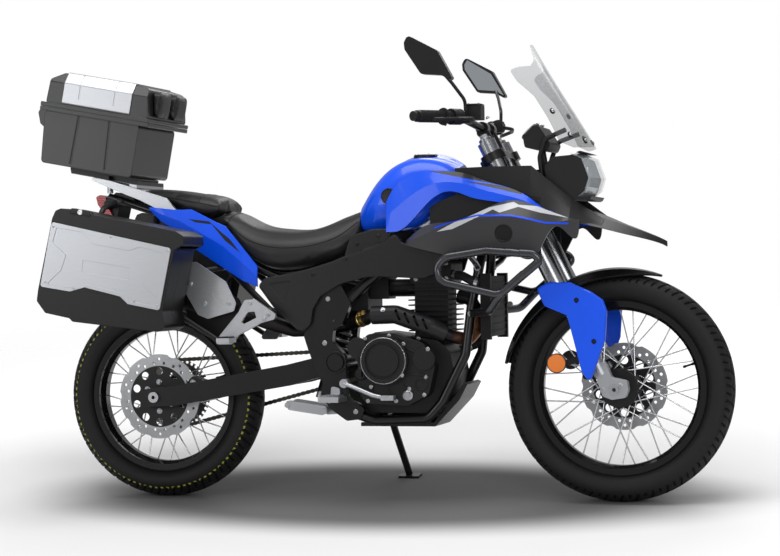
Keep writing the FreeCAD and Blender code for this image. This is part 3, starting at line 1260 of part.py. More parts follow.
def build_all():
    """Every piece by its name, upright, on the body that carries it."""
    front = STEERING_AXLE
    rear = REAR_AXLE
    frame = make_main_frame()
    subframe = make_subframe().cut(frame)
    panels = make_blue_panels()
    beak = make_beak()
    tray = make_tail_tray().cut(subframe)
    racks = make_racks().cut(subframe)
    crash_bars = make_crash_bars()
    return {
        "front_tyre": make_tyre(front, FRONT_TYRE_R, FRONT_TYRE_HALF, FRONT_BEAD_R, FRONT_RIM_HALF),
        "front_rim": make_rim(front, FRONT_BEAD_R, FRONT_RIM_HALF),
        "front_spokes": make_spokes(front, FRONT_BEAD_R, 34, 76),
        "front_brake_disc": make_disc(front, FRONT_DISC_Y, HUB_R + SEAT_GAP),
        "rear_tyre": make_tyre(rear, REAR_TYRE_R, REAR_TYRE_HALF, REAR_BEAD_R, REAR_RIM_HALF),
        "rear_rim": make_rim(rear, REAR_BEAD_R, REAR_RIM_HALF),
        "rear_spokes": make_spokes(rear, REAR_BEAD_R, 36, 82),
        "rear_brake_disc": make_disc(rear, REAR_DISC_Y, HUB_R + SEAT_GAP),
        "rear_sprocket": make_sprocket(),
        "drive_chain": make_chain(),
        "fork_outer_tubes": make_fork_outer(),
        "fork_lowers": make_fork_lower(),
        "fork_clamps": make_clamps(),
        "front_axle": make_front_axle(),
        "front_mudguard": make_front_mudguard(),
        "fork_guards": make_fork_guards(),
        "front_caliper": make_caliper(),
        "handlebar": make_handlebar(),
        "hand_controls": make_controls(),
        "mirrors": make_mirrors(),
        "main_frame": frame,
        "seat_subframe": subframe,
        "swingarm": make_swingarm(),
        "rear_axle": make_rear_axle(),
        "rear_suspension": make_suspension(),
        "engine": make_engine(),
        "exhaust": make_exhaust().cut(panels),
        "exhaust_shields": make_exhaust_shields(),
        "radiator": make_radiator(),
        "skid_plate": make_skid_plate(),
        "crash_bars": crash_bars,
        "foot_controls": make_foot_controls(),
        "passenger_pegs": make_passenger_pegs().cut(subframe),
        "side_stand": make_side_stand(),
        "fuel_tank": make_tank(),
        "blue_panels": panels,
        "side_covers": make_side_covers().cut([panels, crash_bars]),
        "inner_fairing": make_inner_fairing().cut([beak, panels]),
        "beak": beak,
        "headlight_shell": make_headlight_shell(),
        "headlight_lens": make_headlight_lens(),
        "windscreen": make_windscreen(),
        "cockpit": make_cockpit(),
        "rider_seat": make_rider_seat(),
        "pillion_seat": make_pillion_seat(),
        "tail_tray": tray,
        "frame_covers": make_frame_covers().cut(panels),
        "tail_lamp": make_tail_lamp().cut(tray),
        "luggage_racks": racks,
        "right_case_shell": make_case_shell(-1),
        "right_case_lid": make_case_lid(-1),
        "right_case_face": make_case_face(-1),
        "left_case_shell": make_case_shell(1),
        "left_case_lid": make_case_lid(1),
        "left_case_face": make_case_face(1),
        "box_shell": make_box_shell(),
        "box_lid": make_box_lid(),
        "box_panel": make_box_panel(),
        "backrest_pads": make_backrest(),
    }


def leaned(shape):
    """The upright shape, leaned to the left as the machine stands."""
    turned = shape.copy()
    turned.transformShape(FreeCAD.Placement(V(0, 0, 0), FreeCAD.Rotation(V(1, 0, 0), -LEAN)).toMatrix(), True)
    return turned


def bottom_centre(shapes):
    """Middle of the shapes' outer limits, on the ground."""
    boxes = [s.optimalBoundingBox(True, False) for s in shapes]
    x = (min(b.XMin for b in boxes) + max(b.XMax for b in boxes)) / 2
    y = (min(b.YMin for b in boxes) + max(b.YMax for b in boxes)) / 2
    return V(x, y, min(b.ZMin for b in boxes))


PIECES = {name: leaned(shape) for name, shape in build_all().items()}
SHIFT = bottom_centre(PIECES.values()) * -1
for name, piece in PIECES.items():
    piece.translate(SHIFT)
    piece.exportStep("parts/" + name + ".step")
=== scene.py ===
import math

import bmesh
import bpy
import numpy as np
from mathutils import Matrix, Vector
from mathutils.bvhtree import BVHTree


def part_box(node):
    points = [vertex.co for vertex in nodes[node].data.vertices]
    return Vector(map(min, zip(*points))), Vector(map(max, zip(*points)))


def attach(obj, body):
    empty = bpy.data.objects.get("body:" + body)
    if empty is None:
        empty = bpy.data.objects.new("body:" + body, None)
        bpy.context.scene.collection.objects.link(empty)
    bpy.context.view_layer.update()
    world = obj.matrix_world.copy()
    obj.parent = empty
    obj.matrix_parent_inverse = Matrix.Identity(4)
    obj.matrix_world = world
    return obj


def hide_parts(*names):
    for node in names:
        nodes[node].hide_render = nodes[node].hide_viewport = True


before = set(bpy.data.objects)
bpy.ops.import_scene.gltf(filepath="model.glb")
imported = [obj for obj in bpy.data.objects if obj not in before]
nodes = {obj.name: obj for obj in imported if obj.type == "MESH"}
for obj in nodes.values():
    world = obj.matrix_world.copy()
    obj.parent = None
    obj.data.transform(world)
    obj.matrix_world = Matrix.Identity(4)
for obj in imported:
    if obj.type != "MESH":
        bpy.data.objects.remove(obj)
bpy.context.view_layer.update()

# Frame, seat rails, swingarm and side stand
# Welded steel tubes with cast pivot plates, and the box-section arm of the rear wheel. All of it is powder
# coated black: an even satin skin with a fine orange peel.

LEAN = math.radians(8)
REAR_TYRE_R = 308.0

tyre_low, tyre_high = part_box("rear_tyre")
rear_axle = np.array((tyre_low + tyre_high) / 2)


def linear(red, green, blue):
    """Shader colour from a screen colour of 0 to 255 a channel."""
    c = np.array([red, green, blue]) / 255
    return tuple(np.where(c <= 0.04045, c / 12.92, ((c + 0.055) / 1.055) ** 2.4))


class Value:
    """A shader socket that takes part in sums: every operator adds one Math node."""

    def __init__(self, finish, socket):
        self.finish = finish
        self.socket = socket

    def math(self, operation, *others):
        sockets = dict(enumerate((self, *others)))
        return self.finish.node("ShaderNodeMath", {"operation": operation}, sockets)

    def __add__(self, other):
        return self.math("ADD", other)

    def __sub__(self, other):
        return self.math("SUBTRACT", other)

    def __rsub__(self, other):
        return -self + other

    def __mul__(self, other):
        return self.math("MULTIPLY", other)

    def __truediv__(self, other):
        return self.math("DIVIDE", other)

    def __neg__(self):
        return self * -1

    __radd__ = __add__
    __rmul__ = __mul__

    def either(self, other):
        """The greater of two masks: 1 where one of them is."""
        return self.math("MAXIMUM", other)

    def size(self):
        """The value without its sign."""
        return self.math("ABSOLUTE")

    def step(self, low, high):
        """0 below low and 1 above high, with a smooth change between them."""
        settings = {"interpolation_type": "SMOOTHSTEP"}
        return self.finish.node("ShaderNodeMapRange", settings, {0: self, 1: low, 2: high})


class Finish:
    """One material: a Principled shader and the nodes that feed it.

    Its edges catch the light as if they were rounded, over round_edge metres.
    """

    def __init__(self, name, colour, roughness, metallic=0.0, coat=0.0, alpha=1.0, round_edge=0.0012):
        self.material = bpy.data.materials.new(name)
        self.material.use_nodes = True
        self.tree = self.material.node_tree
        self.shader = self.tree.nodes["Principled BSDF"]
        self.colour = colour
        self.normal = {}
        self.feed("Base Color", (*colour, 1))
        self.feed("Roughness", roughness)
        self.feed("Metallic", metallic)
        self.feed("Coat Weight", coat)
        self.feed("Coat Roughness", 0.06)
        self.feed("Specular IOR Level", 0.3)
        self.feed("Alpha", alpha)
        if round_edge > 0:
            edge = self.node("ShaderNodeBevel", {"samples": 4}, {"Radius": round_edge})
            self.normal = {"Normal": edge}
            self.feed("Normal", edge)

    def node(self, kind, settings, inputs, output=0):
        """One node of a type, with its settings and the values or links of its sockets."""
        made = self.tree.nodes.new(kind)
        for key, setting in settings.items():
            setattr(made, key, setting)
        for key, given in inputs.items():
            if isinstance(given, Value):
                self.tree.links.new(given.socket, made.inputs[key])
            else:
                made.inputs[key].default_value = given
        return Value(self, made.outputs[output])

    def feed(self, name, given):
        """Sets or links one of the shader's own sockets."""
        if isinstance(given, Value):
            self.tree.links.new(given.socket, self.shader.inputs[name])
        else:
            self.shader.inputs[name].default_value = given

    def place(self):
        """The point's own place on the object, in metres."""
        return self.node("ShaderNodeTexCoord", {}, {}, "Object")

    def machine(self):
        """The point's x, y and z on the upright machine, in millimetres."""
        upright = Matrix.Rotation(LEAN, 3, "X")
        shift = Vector((0, 0, REAR_TYRE_R)) - upright @ Vector(rear_axle * 1000)
        inputs = {"Location": shift, "Rotation": (LEAN, 0, 0), "Scale": (1000, 1000, 1000)}
        place = self.node("ShaderNodeMapping", {}, {"Vector": self.place(), **inputs})
        return [self.node("ShaderNodeSeparateXYZ", {}, {0: place}, i) for i in range(3)]

    def radius(self, centre_x, centre_z):
        """Distance from a line across the machine: the square root of the sum of the two squares."""
        x, y, z = self.machine()
        dx = x - centre_x
        dz = z - centre_z
        return (dx * dx + dz * dz).math("SQRT")

    def inside(self, corners, soft=0.5):
        """1 within a convex outline of machine x and z, 0 outside it.

        The depth behind an edge is the offset from its first corner, across the edge; the least is stepped.
        """
        x, y, z = self.machine()
        middle = np.mean(corners, 0)
        least = None
        for a, b in zip(corners, corners[1:] + corners[:1]):
            along = (np.array(b) - a) / math.dist(a, b)
            side = math.copysign(1, along[0] * (middle[1] - a[1]) - along[1] * (middle[0] - a[0]))
            depth = ((z - a[1]) * along[0] - (x - a[0]) * along[1]) * side
            least = depth if least is None else least.math("MINIMUM", depth)
        return least.step(-soft, soft)

    def noise(self, scale, detail=2.0, stretch=(1, 1, 1)):
        """Cloudy noise from 0 to 1, with this many cells a metre, stretched along each axis."""
        place = self.node("ShaderNodeMapping", {}, {"Vector": self.place(), "Scale": stretch})
        return self.node("ShaderNodeTexNoise", {}, {"Vector": place, "Scale": scale, "Detail": detail})

    def cells(self, scale):
        """Distance from the nearest of scattered points, with this many cells a metre."""
        return self.node("ShaderNodeTexVoronoi", {}, {"Vector": self.place(), "Scale": scale})

    def mix(self, factor, *colours):
        """A colour between two colours."""
        first, second = ((*colour, 1) if isinstance(colour, tuple) else colour for colour in colours)
        return self.node("ShaderNodeMix", {"data_type": "RGBA"}, {0: factor, 6: first, 7: second}, 2)

    def vary(self, factor, amount):
        """The base colour, darker and lighter by an amount where the factor falls and rises."""
        dark = tuple(c * (1 - amount) for c in self.colour)
        light = tuple(min(1.0, c * (1 + amount)) for c in self.colour)
        varied = self.mix(factor, dark, light)
        self.feed("Base Color", varied)
        return varied

    def bump(self, height, distance, strength=1.0):
        """Relief from a height of 0 to 1, this many metres deep, over the rounded edges."""
        inputs = {"Height": height, "Distance": distance, "Strength": strength, **self.normal}
        self.normal = {"Normal": self.node("ShaderNodeBump", {}, inputs)}
        self.feed("Normal", self.normal["Normal"])


def coated(name, colour, roughness, blotches=None, grain=None, cells=None, **more):
    """A finish whose colour varies in blotches and whose skin has a fine grain or rounded cells.

    Blotches are given as how many a metre and their amount; grain and cells as how many a metre, their depth in
    metres and their strength.
    """
    finish = Finish(name, colour, roughness, **more)
    if blotches:
        finish.vary(finish.noise(blotches[0]), blotches[1])
    if grain:
        finish.bump(finish.noise(grain[0]), *grain[1:])
    if cells:
        finish.bump(finish.cells(cells[0]), *cells[1:])
    return finish


def wear(finish, *names):
    """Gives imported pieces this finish."""
    for name in names:
        nodes[name].data.materials.clear()
        nodes[name].data.materials.append(finish.material)


frame_coat = coated("frame_coat", linear(13, 13, 14), 0.3, (9, 0.25), (420, 0.00008, 0.5), coat=0.15)
wear(frame_coat, "main_frame", "seat_subframe", "swingarm", "side_stand")

# Engine
# Single upright cylinder on a cast crankcase, coated in black crinkle paint. The clutch cover's ring is
# machined bright at its edge, and a row of flange bolts holds each side cover.

CLUTCH = (732.0, 418.0)
CLUTCH_RING_R = 67.2
RIGHT_COVER_Y = -150.0
OIL_FILLER = (660, RIGHT_COVER_Y, 380)
OIL_GLASS = (800, RIGHT_COVER_Y, 316)
BOTH_SIDES = (-1, 1)
lean_turn = np.array([
    [1, 0, 0],
    [0, math.cos(LEAN), math.sin(LEAN)],
    [0, -math.sin(LEAN), math.cos(LEAN)],
])


def leaned(points):
    """Metres in the row's frame of points of the upright machine, given in millimetres.

    The upright machine has x forward from the rear axle, y to the rider's left and z up from the ground. A
    point's offset from the rear axle is turned by the lean and added to where the axle is.
    """
    offset = np.asarray(points, float) - (0, 0, REAR_TYRE_R)
    return offset @ lean_turn.T / 1000 + rear_axle


def upright(point):
    """Machine millimetres of a point in the row's frame: the lean is undone about the rear axle."""
    return (np.array(point) - rear_axle) @ lean_turn * 1000 + (0, 0, REAR_TYRE_R)


def unit(v):
    """The same directions, each of length one."""
    v = np.asarray(v, float)
    return v / np.linalg.norm(v, axis=-1, keepdims=True)


def grid_faces(rows, columns, wrap_rows=False, wrap_columns=False):
    """Quads between the neighbouring points of a grid, closed round where it wraps."""
    r = np.arange(rows if wrap_rows else rows - 1)[:, None]
    c = np.arange(columns if wrap_columns else columns - 1)[None, :]
    r2 = (r + 1) % rows
    c2 = (c + 1) % columns
    corners = (r * columns + c, r2 * columns + c, r2 * columns + c2, r * columns + c2)
    return np.stack(np.broadcast_arrays(*corners), -1).reshape(-1, 4)


def merge_doubles(mesh, distance):
    """Joins points that lie closer than a distance in metres, and turns every face outwards."""
    held = bmesh.new()
    held.from_mesh(mesh)
    bmesh.ops.remove_doubles(held, verts=held.verts, dist=distance)
    bmesh.ops.dissolve_degenerate(held, edges=held.edges, dist=distance)
    bmesh.ops.recalc_face_normals(held, faces=held.faces)
    held.to_mesh(mesh)
    held.free()


class Shape:
    """Points in machine millimetres and faces, gathered from several surfaces into one piece."""

    def __init__(self):
        self.points = []
        self.faces = []
        self.count = 0

    def add(self, points, faces):
        """Takes in more points, and faces that count them from 0."""
        points = np.asarray(points, float).reshape(-1, 3)
        self.points.append(points)
        faces = faces.tolist() if isinstance(faces, np.ndarray) else faces
        self.faces += [[i + self.count for i in face] for face in faces]
        self.count += len(points)
        return self

    def grid(self, points, wrap_rows=False, wrap_columns=False):
        """Takes in a surface given as rows of points."""
        rows, columns = points.shape[:2]
        return self.add(points, grid_faces(rows, columns, wrap_rows, wrap_columns))

    def both(self):
        """The same surfaces again on the machine's other side."""
        flipped = np.concatenate(self.points) * (1, -1, 1)
        return self.add(flipped, [face[::-1] for face in self.faces])

    def made(self, name, body, finish, slot, smooth=40.0, weld=0.00001):
        """The mesh object, riding on a body. Edges sharper than smooth degrees stay sharp."""
        mesh = bpy.data.meshes.new(name)
        mesh.from_pydata(leaned(np.concatenate(self.points)).tolist(), [], self.faces)
        mesh.validate()
        mesh.update()
        return dressed(mesh, name, body, finish, smooth, weld)


def dressed(mesh, name, body, finish, smooth=40.0, weld=0.00001):
    """Object of a mesh, with its finish and its body."""
    piece = bpy.data.objects.new(name, mesh)
    bpy.context.scene.collection.objects.link(piece)
    mesh.materials.clear()
    mesh.materials.append(finish.material)
    if weld > 0:
        merge_doubles(mesh, weld)
    mesh.polygons.foreach_set("use_smooth", [True] * len(mesh.polygons))
    mesh.set_sharp_from_angle(angle=math.radians(smooth))
    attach(piece, body)
    return piece


def turned(profile, places, ways, sides=16):
    """Points and faces of a profile turned about an axis at each place.

    A profile row is a radius and a height. A point is its place, plus the height along the way, plus the
    radius times the cosine and sine of the turn along two directions that are square to the way.
    """
    profile = np.asarray(profile, float)
    places = np.asarray(places, float).reshape(-1, 3)
    ways = unit(np.broadcast_to(np.asarray(ways, float), places.shape))
    steep = np.abs(ways[:, 2:]) > 0.9
    side = unit(np.cross(ways, np.where(steep, (1.0, 0, 0), (0, 0, 1.0))))
    other = np.cross(ways, side)
    turn = np.linspace(0, 2 * math.pi, sides, endpoint=False)
    ring = side[:, None] * np.cos(turn)[:, None] + other[:, None] * np.sin(turn)[:, None]
    points = (places[:, None, None] + ways[:, None, None] * profile[:, 1][:, None, None]
              + ring[:, None] * profile[:, 0][:, None, None])
    faces = grid_faces(len(profile), sides, False, True)[:, ::-1]
    first = np.arange(len(places)) * len(profile) * sides
    return points.reshape(-1, 3), (first[:, None, None] + faces).reshape(-1, 4)


def fitting(name, body, finish, slot, profile, places, way, sides, smooth=30, both=False):
    """A small turned piece at each place, and again on the machine's other side where both have it."""
    shape = Shape().add(*turned(profile, places, way, sides))
    if both:
        shape.both()
    return shape.made(name, body, finish, slot, smooth)


def bolts(shape, places, ways, r):
    """Flange bolts: a thin washer face and a hexagon head with a dished middle, r across its corners."""
    flange = [(0, -0.5 / r), (1.35, -0.5 / r), (1.35, 0.16), (1.2, 0.26), (0, 0.26)]
    head = [(0, 0.2), (1, 0.2), (1, 0.95), (0.86, 1.08), (0.5, 1.08), (0.4, 0.8), (0, 0.8)]
    shape.add(*turned(np.multiply(flange, r), places, ways, 20))
    shape.add(*turned(np.multiply(head, r), places, ways, 6))


def skin_of(name):
    """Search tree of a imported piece's own surface."""
    mesh = nodes[name].data
    return BVHTree.FromPolygons([v.co for v in mesh.vertices], [p.vertices for p in mesh.polygons])


def landed(tree, x, z, side):
    """Where a line across the machine at x and z first meets a surface from a side, and its way."""
    start = Vector(leaned((x, side * 600, z)))
    way = Vector(lean_turn @ (0, -side, 0))
    place, normal = tree.ray_cast(start, way)[:2]
    if normal.dot(way) > 0:
        normal = -normal
    return upright(place), np.array(normal) @ lean_turn


def fixed_bolts(shape, node, spots, sides, r):
    """Bolts on a piece's surface at machine x and z, square to it, on each of the sides."""
    tree = skin_of(node)
    for side in sides:
        found = [landed(tree, x, z, side) for x, z in spots]
        bolts(shape, [f[0] for f in found], [f[1] for f in found], r)


crinkle = Finish("engine_crinkle", linear(13, 13, 14), 0.4, round_edge=0.003)
from_clutch = crinkle.radius(*CLUTCH)
x, y, z = crinkle.machine()
lip = (from_clutch - CLUTCH_RING_R).size().math("LESS_THAN", 1.1) * (-y).step(168, 169)
crinkle.feed("Base Color", crinkle.mix(lip, crinkle.colour, linear(176, 177, 180)))
crinkle.feed("Metallic", lip)
crinkle.feed("Roughness", 0.5 - lip * 0.28)
crinkle.bump(crinkle.cells(900), 0.00012, 0.6)
wear(crinkle, "engine")

zinc = coated("zinc_bolts", linear(178, 180, 184), 0.3, (240, 0.2), (2400, 0.00002, 0.5), metallic=1.0,
              round_edge=0.0004)

engine_bolts = Shape()
right_spots = [(788, 466), (787, 376), (863, 451), (855, 370), (804, 335), (849, 318), (689, 341), (672, 482),
               (679, 300), (764, 300), (745, 490), (820, 480)]
left_spots = [(728, 306), (835, 306), (872, 352), (872, 410), (830, 455), (730, 460), (716, 340)]
head_spots = [(808, 654), (900, 654), (808, 700), (900, 700)]
fixed_bolts(engine_bolts, "engine", right_spots, (-1,), 4.6)
fixed_bolts(engine_bolts, "engine", left_spots, (1,), 4.6)
fixed_bolts(engine_bolts, "engine", head_spots, BOTH_SIDES, 5)
engine_bolts.made("engine_bolts", "frame", zinc, "spoke_steel", 30)

filler = Shape()
cap_profile = [(0, -2), (19, -2), (19, 5), (16, 8), (0, 8)]
grip_profile = [(0, 7), (13, 7), (11, 15), (9, 17), (0, 17)]
filler.add(*turned(cap_profile, OIL_FILLER, (0, -1, 0), 24))
filler.add(*turned(grip_profile, OIL_FILLER, (0, -1, 0), 3))
filler.made("oil_filler_cap", "frame", frame_coat, "black_metal", 30)

glass_profile = [(0, -1), (15, -1), (15, 3), (12, 5), (11, 2.5), (0, 2.5)]
fitting("oil_sight_glass", "frame", zinc, "spoke_steel", glass_profile, OIL_GLASS, (0, -1, 0), 28)

# Plug cap
# Rubber cap of the spark plug at the cylinder head's side, with a boot ribbed where fingers pull it off.

rubber = coated("rubber", linear(15, 15, 16), 0.62, (70, 0.3), (1300, 0.00006, 0.6))

boot = [(0, 0), (13, 0), (13, 8), (10, 10), (10, 14), (13, 16), (13, 20), (10, 22), (10, 26), (13, 28),
        (12, 44), (8, 50), (0, 50)]
fitting("plug_cap", "frame", rubber, "rubber", boot, (852, -68, 676), (0.2, -0.75, 0.5), 24, 35)

# Radiator, skid plate and crash bars
# An aluminium core painted black between two side tanks, with rubber hoses to the engine; a pressed steel
# plate under the crankcase; and bent steel loops with a dark metallic coat.

FIN_PITCH = 3.2
CORE_HALF = 103
HOSE_R = 13.0

core_black = Finish("radiator_black", linear(22, 22, 24), 0.5, 0.3)
x, y, z = core_black.machine()
# The fin mask sets the core's relief, and also a painted shade: the colour darkens in the gaps between the
# fins.
fin_relief_and_gap_shade = (y / FIN_PITCH).math("FRACT").step(0.2, 0.8) * y.size().math("LESS_THAN", CORE_HALF)
core_black.feed("Base Color", core_black.mix(fin_relief_and_gap_shade, linear(8, 8, 9), linear(24, 24, 26)))
core_black.bump(fin_relief_and_gap_shade, 0.0006, 0.8)
wear(core_black, "radiator")
pressed_black = coated("pressed_black", linear(14, 14, 15), 0.4, grain=(500, 0.00006, 0.5), coat=0.1)
wear(pressed_black, "skid_plate")
gunmetal = coated("gunmetal_coat", linear(70, 71, 74), 0.27, (40, 0.12), (900, 0.00003, 0.4), metallic=0.85,
                  coat=0.15)
wear(gunmetal, "crash_bars")


def bent(points, bend, step=6.0):
    """Path along straight runs whose corners are arcs of a bend radius, as a pipe bender leaves them.

    An arc touches both runs; its points lie between them as the sines of the two parts of its sweep.
    """
    points = np.asarray(points, float)
    path = [points[0]]
    for before, corner, after in zip(points[:-2], points[1:-1], points[2:]):
        a = unit(before - corner)
        b = unit(after - corner)
        half = math.acos(np.clip(a @ b, -1, 1)) / 2
        reach = min(bend / math.tan(half), 0.45 * np.linalg.norm(before - corner),
                    0.45 * np.linalg.norm(after - corner))
        r = reach * math.tan(half)
        centre = corner + unit(a + b) * r / math.sin(half)
        start = corner + a * reach - centre
        end = corner + b * reach - centre
        sweep = math.pi - 2 * half
        t = np.linspace(0, sweep, max(2, int(r * sweep / step) + 1))[:, None]
        path += list(centre + (start * np.sin(sweep - t) + end * np.sin(t)) / math.sin(sweep))
    path.append(points[-1])
    return np.array(path)


def rings_along(path, radius, sides):
    """Rings round a path. Each ring's axes are the last ring's, turned with the path's direction."""
    along = unit(np.gradient(np.asarray(path, float), axis=0))
    turn = np.linspace(0, 2 * math.pi, sides, endpoint=False)
    side = unit(np.cross(along[0], (0.13, 0.17, 1.0)))
    rings = []
    for place, way, r in zip(path, along, np.broadcast_to(radius, len(path))):
        side = unit(side - way * (side @ way))
        other = np.cross(way, side)
        rings.append(place + r * (np.cos(turn)[:, None] * side + np.sin(turn)[:, None] * other))
    return np.array(rings)


def pipe(shape, path, radius, sides=16):
    """Closed round bar along a path, its ends drawn in to a point."""
    rings = rings_along(path, radius, sides)
    middles = np.broadcast_to(rings[[0, -1]].mean(1, keepdims=True), (2, sides, 3))
    shape.grid(np.concatenate([middles[:1], rings, middles[1:]]), False, True)


hoses = Shape()
upper_hose = [(1012, -112, 640), (985, -112, 648), (952, -84, 662), (905, -52, 668)]
lower_hose = [(1012, 112, 500), (985, 112, 490), (950, 96, 455), (905, 70, 440)]
pipe(hoses, bent(upper_hose, 25), HOSE_R)
pipe(hoses, bent(lower_hose, 25), HOSE_R)
hoses.made("coolant_hoses", "frame", rubber, "rubber")

clip_profile = [(HOSE_R, -5), (HOSE_R + 1.6, -5), (HOSE_R + 1.6, 5), (HOSE_R, 5)]
clip_places = [(1000, -112, 643.5), (930, -68.7, 665), (1000, 112, 495.6), (930, 83.4, 448)]
clip_ways = [(1, 0, -0.3), (1, -0.68, -0.13), (1, 0, 0.37), (1, 0.55, 0.33)]
fitting("hose_clips", "frame", zinc, "spoke_steel", clip_profile, clip_places, clip_ways, 24)

bar_bolts = Shape()
bar_spots = [(1051, -111, 574), (1003, -109, 684), (984, -124, 552)]
bolts(bar_bolts, bar_spots, (0, -1, 0), 6.5)
bar_bolts.both()
bar_bolts.made("crash_bar_bolts", "frame", zinc, "spoke_steel", 30)

# Engine cover relief
# Cast relief of the crankcase covers: round ribs half sunk in the metal that fan out between the bolts, and a
# swirl over the pump at the front.

RIB_R = 3.0
LEFT_COVER_Y = 140.0
RIGHT_RIBS = [((795, 455), (846, 430)), ((800, 378), (868, 372)), ((786, 352), (815, 310)),
              ((742, 338), (752, 296)), ((700, 350), (684, 306)), ((668, 398), (640, 372)),
              ((770, 486), (806, 470))]
LEFT_RIBS = [((760, 446), (740, 464)), ((852, 430), (872, 440)), ((860, 350), (878, 344)),
             ((744, 322), (730, 308))]
SWIRL = (838.0, 352.0)


def spiral(centre, y, turns, pitch, count=70):
    """Path whose radius from its centre grows by a pitch with every turn."""
    t = np.linspace(0.4, turns * 2 * math.pi, count)
    r = 6 + pitch * t / (2 * math.pi)
    return np.stack([centre[0] + r * np.cos(t), np.full(count, y), centre[1] + r * np.sin(t)], -1)


relief = Shape()
for ribs, y in ((RIGHT_RIBS, RIGHT_COVER_Y), (LEFT_RIBS, LEFT_COVER_Y)):
    for start, end in ribs:
        line = np.linspace((start[0], y, start[1]), (end[0], y, end[1]), 8)
        pipe(relief, line, RIB_R * np.sin(np.linspace(0.5, math.pi - 0.5, 8)), 12)
pipe(relief, spiral(SWIRL, RIGHT_COVER_Y, 1.3, 18), 2.4, 8)
relief.made("engine_cover_relief", "frame", crinkle, "black_metal", 50)

# Exhaust
# Steel header with a dark coat, coloured copper by heat below the front bend, a brass clamp where it meets
# the silencer pipe, and two shields: a slotted black one by the engine and a brushed one on the silencer.

CLAMP_PLACE = (655, -101.5, 539)
CLAMP_WAY = (90, -58, 28)

header = Finish("header_pipe", linear(38, 36, 36), 0.38, 0.9, round_edge=0)
x, y, z = header.machine()
hot = x.step(925, 965) * (1 - z.step(505, 560))
tip_bright = 1 - x.step(-96, -94)
tinted = header.mix(hot * header.noise(30).step(0.2, 0.6), header.colour, linear(168, 116, 88))
header.feed("Base Color", header.mix(tip_bright, tinted, linear(150, 150, 152)))
header.feed("Roughness", 0.38 + header.noise(120) * 0.12)
wear(header, "exhaust")

shields = Finish("exhaust_shields", linear(28, 28, 30), 0.42, 0.2)
x, y, z = shields.machine()
bright = 1 - x.step(398, 402)
brushed = shields.noise(80, 3, (1, 1, 14))
silver_tone = shields.mix(brushed, linear(150, 152, 155), linear(196, 198, 201))
shields.feed("Base Color", shields.mix(bright, shields.colour, silver_tone))
shields.feed("Metallic", 0.2 + bright * 0.75)
shields.feed("Roughness", 0.44 - bright * 0.1)
wear(shields, "exhaust_shields")

brass = coated("brass_clamp", linear(186, 160, 98), 0.3, (200, 0.15), metallic=1.0, round_edge=0.0004)
clamp = Shape()
band = [(19.2, -12), (22.5, -12), (22.5, -7), (21, -6), (21, 6), (22.5, 7), (22.5, 12), (19.2, 12)]
clamp.add(*turned(band, CLAMP_PLACE, CLAMP_WAY, 36))
ear = np.array(CLAMP_PLACE) + (-6, -22, 14)
bolts(clamp, [ear, ear + (14, -9, 4)], (0.1, -0.6, 0.8), 6)
clamp.made("exhaust_clamp", "frame", brass, "pipe_copper", 30)

shield_screws = Shape()
shield_spots = [(206, 592), (163, 650), (282, 590), (728, 566)]
fixed_bolts(shield_screws, "exhaust_shields", shield_spots, (-1,), 5.5)
shield_screws.made("shield_screws", "frame", zinc, "spoke_steel", 30)

# Rear suspension
# Gas damper inside a coil spring, on a forged link and two cast links below it. The spring is wound from one
# steel wire and coated grey; the links are bare cast aluminium.

DAMPER_LOW = np.array([488.0, 0, 300])
DAMPER_HIGH = np.array([580.0, 0, 600])
SPRING_FROM = 84.0
SPRING_LONG = 166.0
SPRING_TURNS = 7.0
SPRING_R = 36.0
SPRING_WIRE_R = 5.5

cast_silver = coated("cast_silver", linear(176, 178, 182), 0.36, (60, 0.1), (800, 0.00008, 0.6), metallic=0.9)
linkage = Finish("linkage", linear(176, 178, 182), 0.38, 0.9)
x, y, z = linkage.machine()
damper_body = z.step(318, 322)
linkage.feed("Base Color", linkage.mix(damper_body, linear(170, 172, 176), linear(40, 40, 43)))
linkage.bump(linkage.noise(800), 0.00008, 0.6)
wear(linkage, "rear_suspension")

spring_coat = coated("spring_coat", linear(128, 130, 134), 0.3, (90, 0.1), metallic=0.4, coat=0.5,
                     round_edge=0)
t = np.linspace(0, 1, 420)
damper_way = unit(DAMPER_HIGH - DAMPER_LOW)
across_damper = np.array([0.0, 1, 0])
ahead_damper = np.cross(across_damper, damper_way)
swing = (t * SPRING_TURNS * 2 * math.pi)[:, None]
coil = (DAMPER_LOW + damper_way * (SPRING_FROM + SPRING_LONG * t)[:, None]
        + SPRING_R * (np.cos(swing) * across_damper + np.sin(swing) * ahead_damper))
spring = Shape()
pipe(spring, coil, SPRING_WIRE_R, 12)
spring.made("suspension_spring", "frame", spring_coat, "gunmetal", 60)

# Foot controls and passenger's pegs
# Cast pegs with serrated steel treads, a forged brake pedal and gear lever, and the passenger's pegs on cast
# brackets bolted to the frame.

PEG_TOP = 314.0
PEG_BACK = 554.0
PEG_FRONT = 612.0
TREAD_TEETH = 9

wear(cast_silver, "foot_controls", "passenger_pegs")


def bars(outlines, y0, y1):
    """Closed prisms from outlines (count, corners, 2) in the x-z plane, all from y0 to y1."""
    outlines = np.asarray(outlines, float)
    count, corners = outlines.shape[:2]
    flat = np.stack([outlines[..., 0], np.full((count, corners), y0), outlines[..., 1]], -1)
    points = np.concatenate([flat, flat + (0, y1 - y0, 0)], 1)
    k = np.arange(corners)
    k2 = (k + 1) % corners
    sides = np.stack([k, k2, k2 + corners, k + corners], -1)
    first = np.arange(count)[:, None] * 2 * corners
    faces = (first[:, :, None] + sides).reshape(-1, 4).tolist()
    faces += (first + k[::-1]).tolist()
    faces += (first + k + corners).tolist()
    return points.reshape(-1, 3), faces


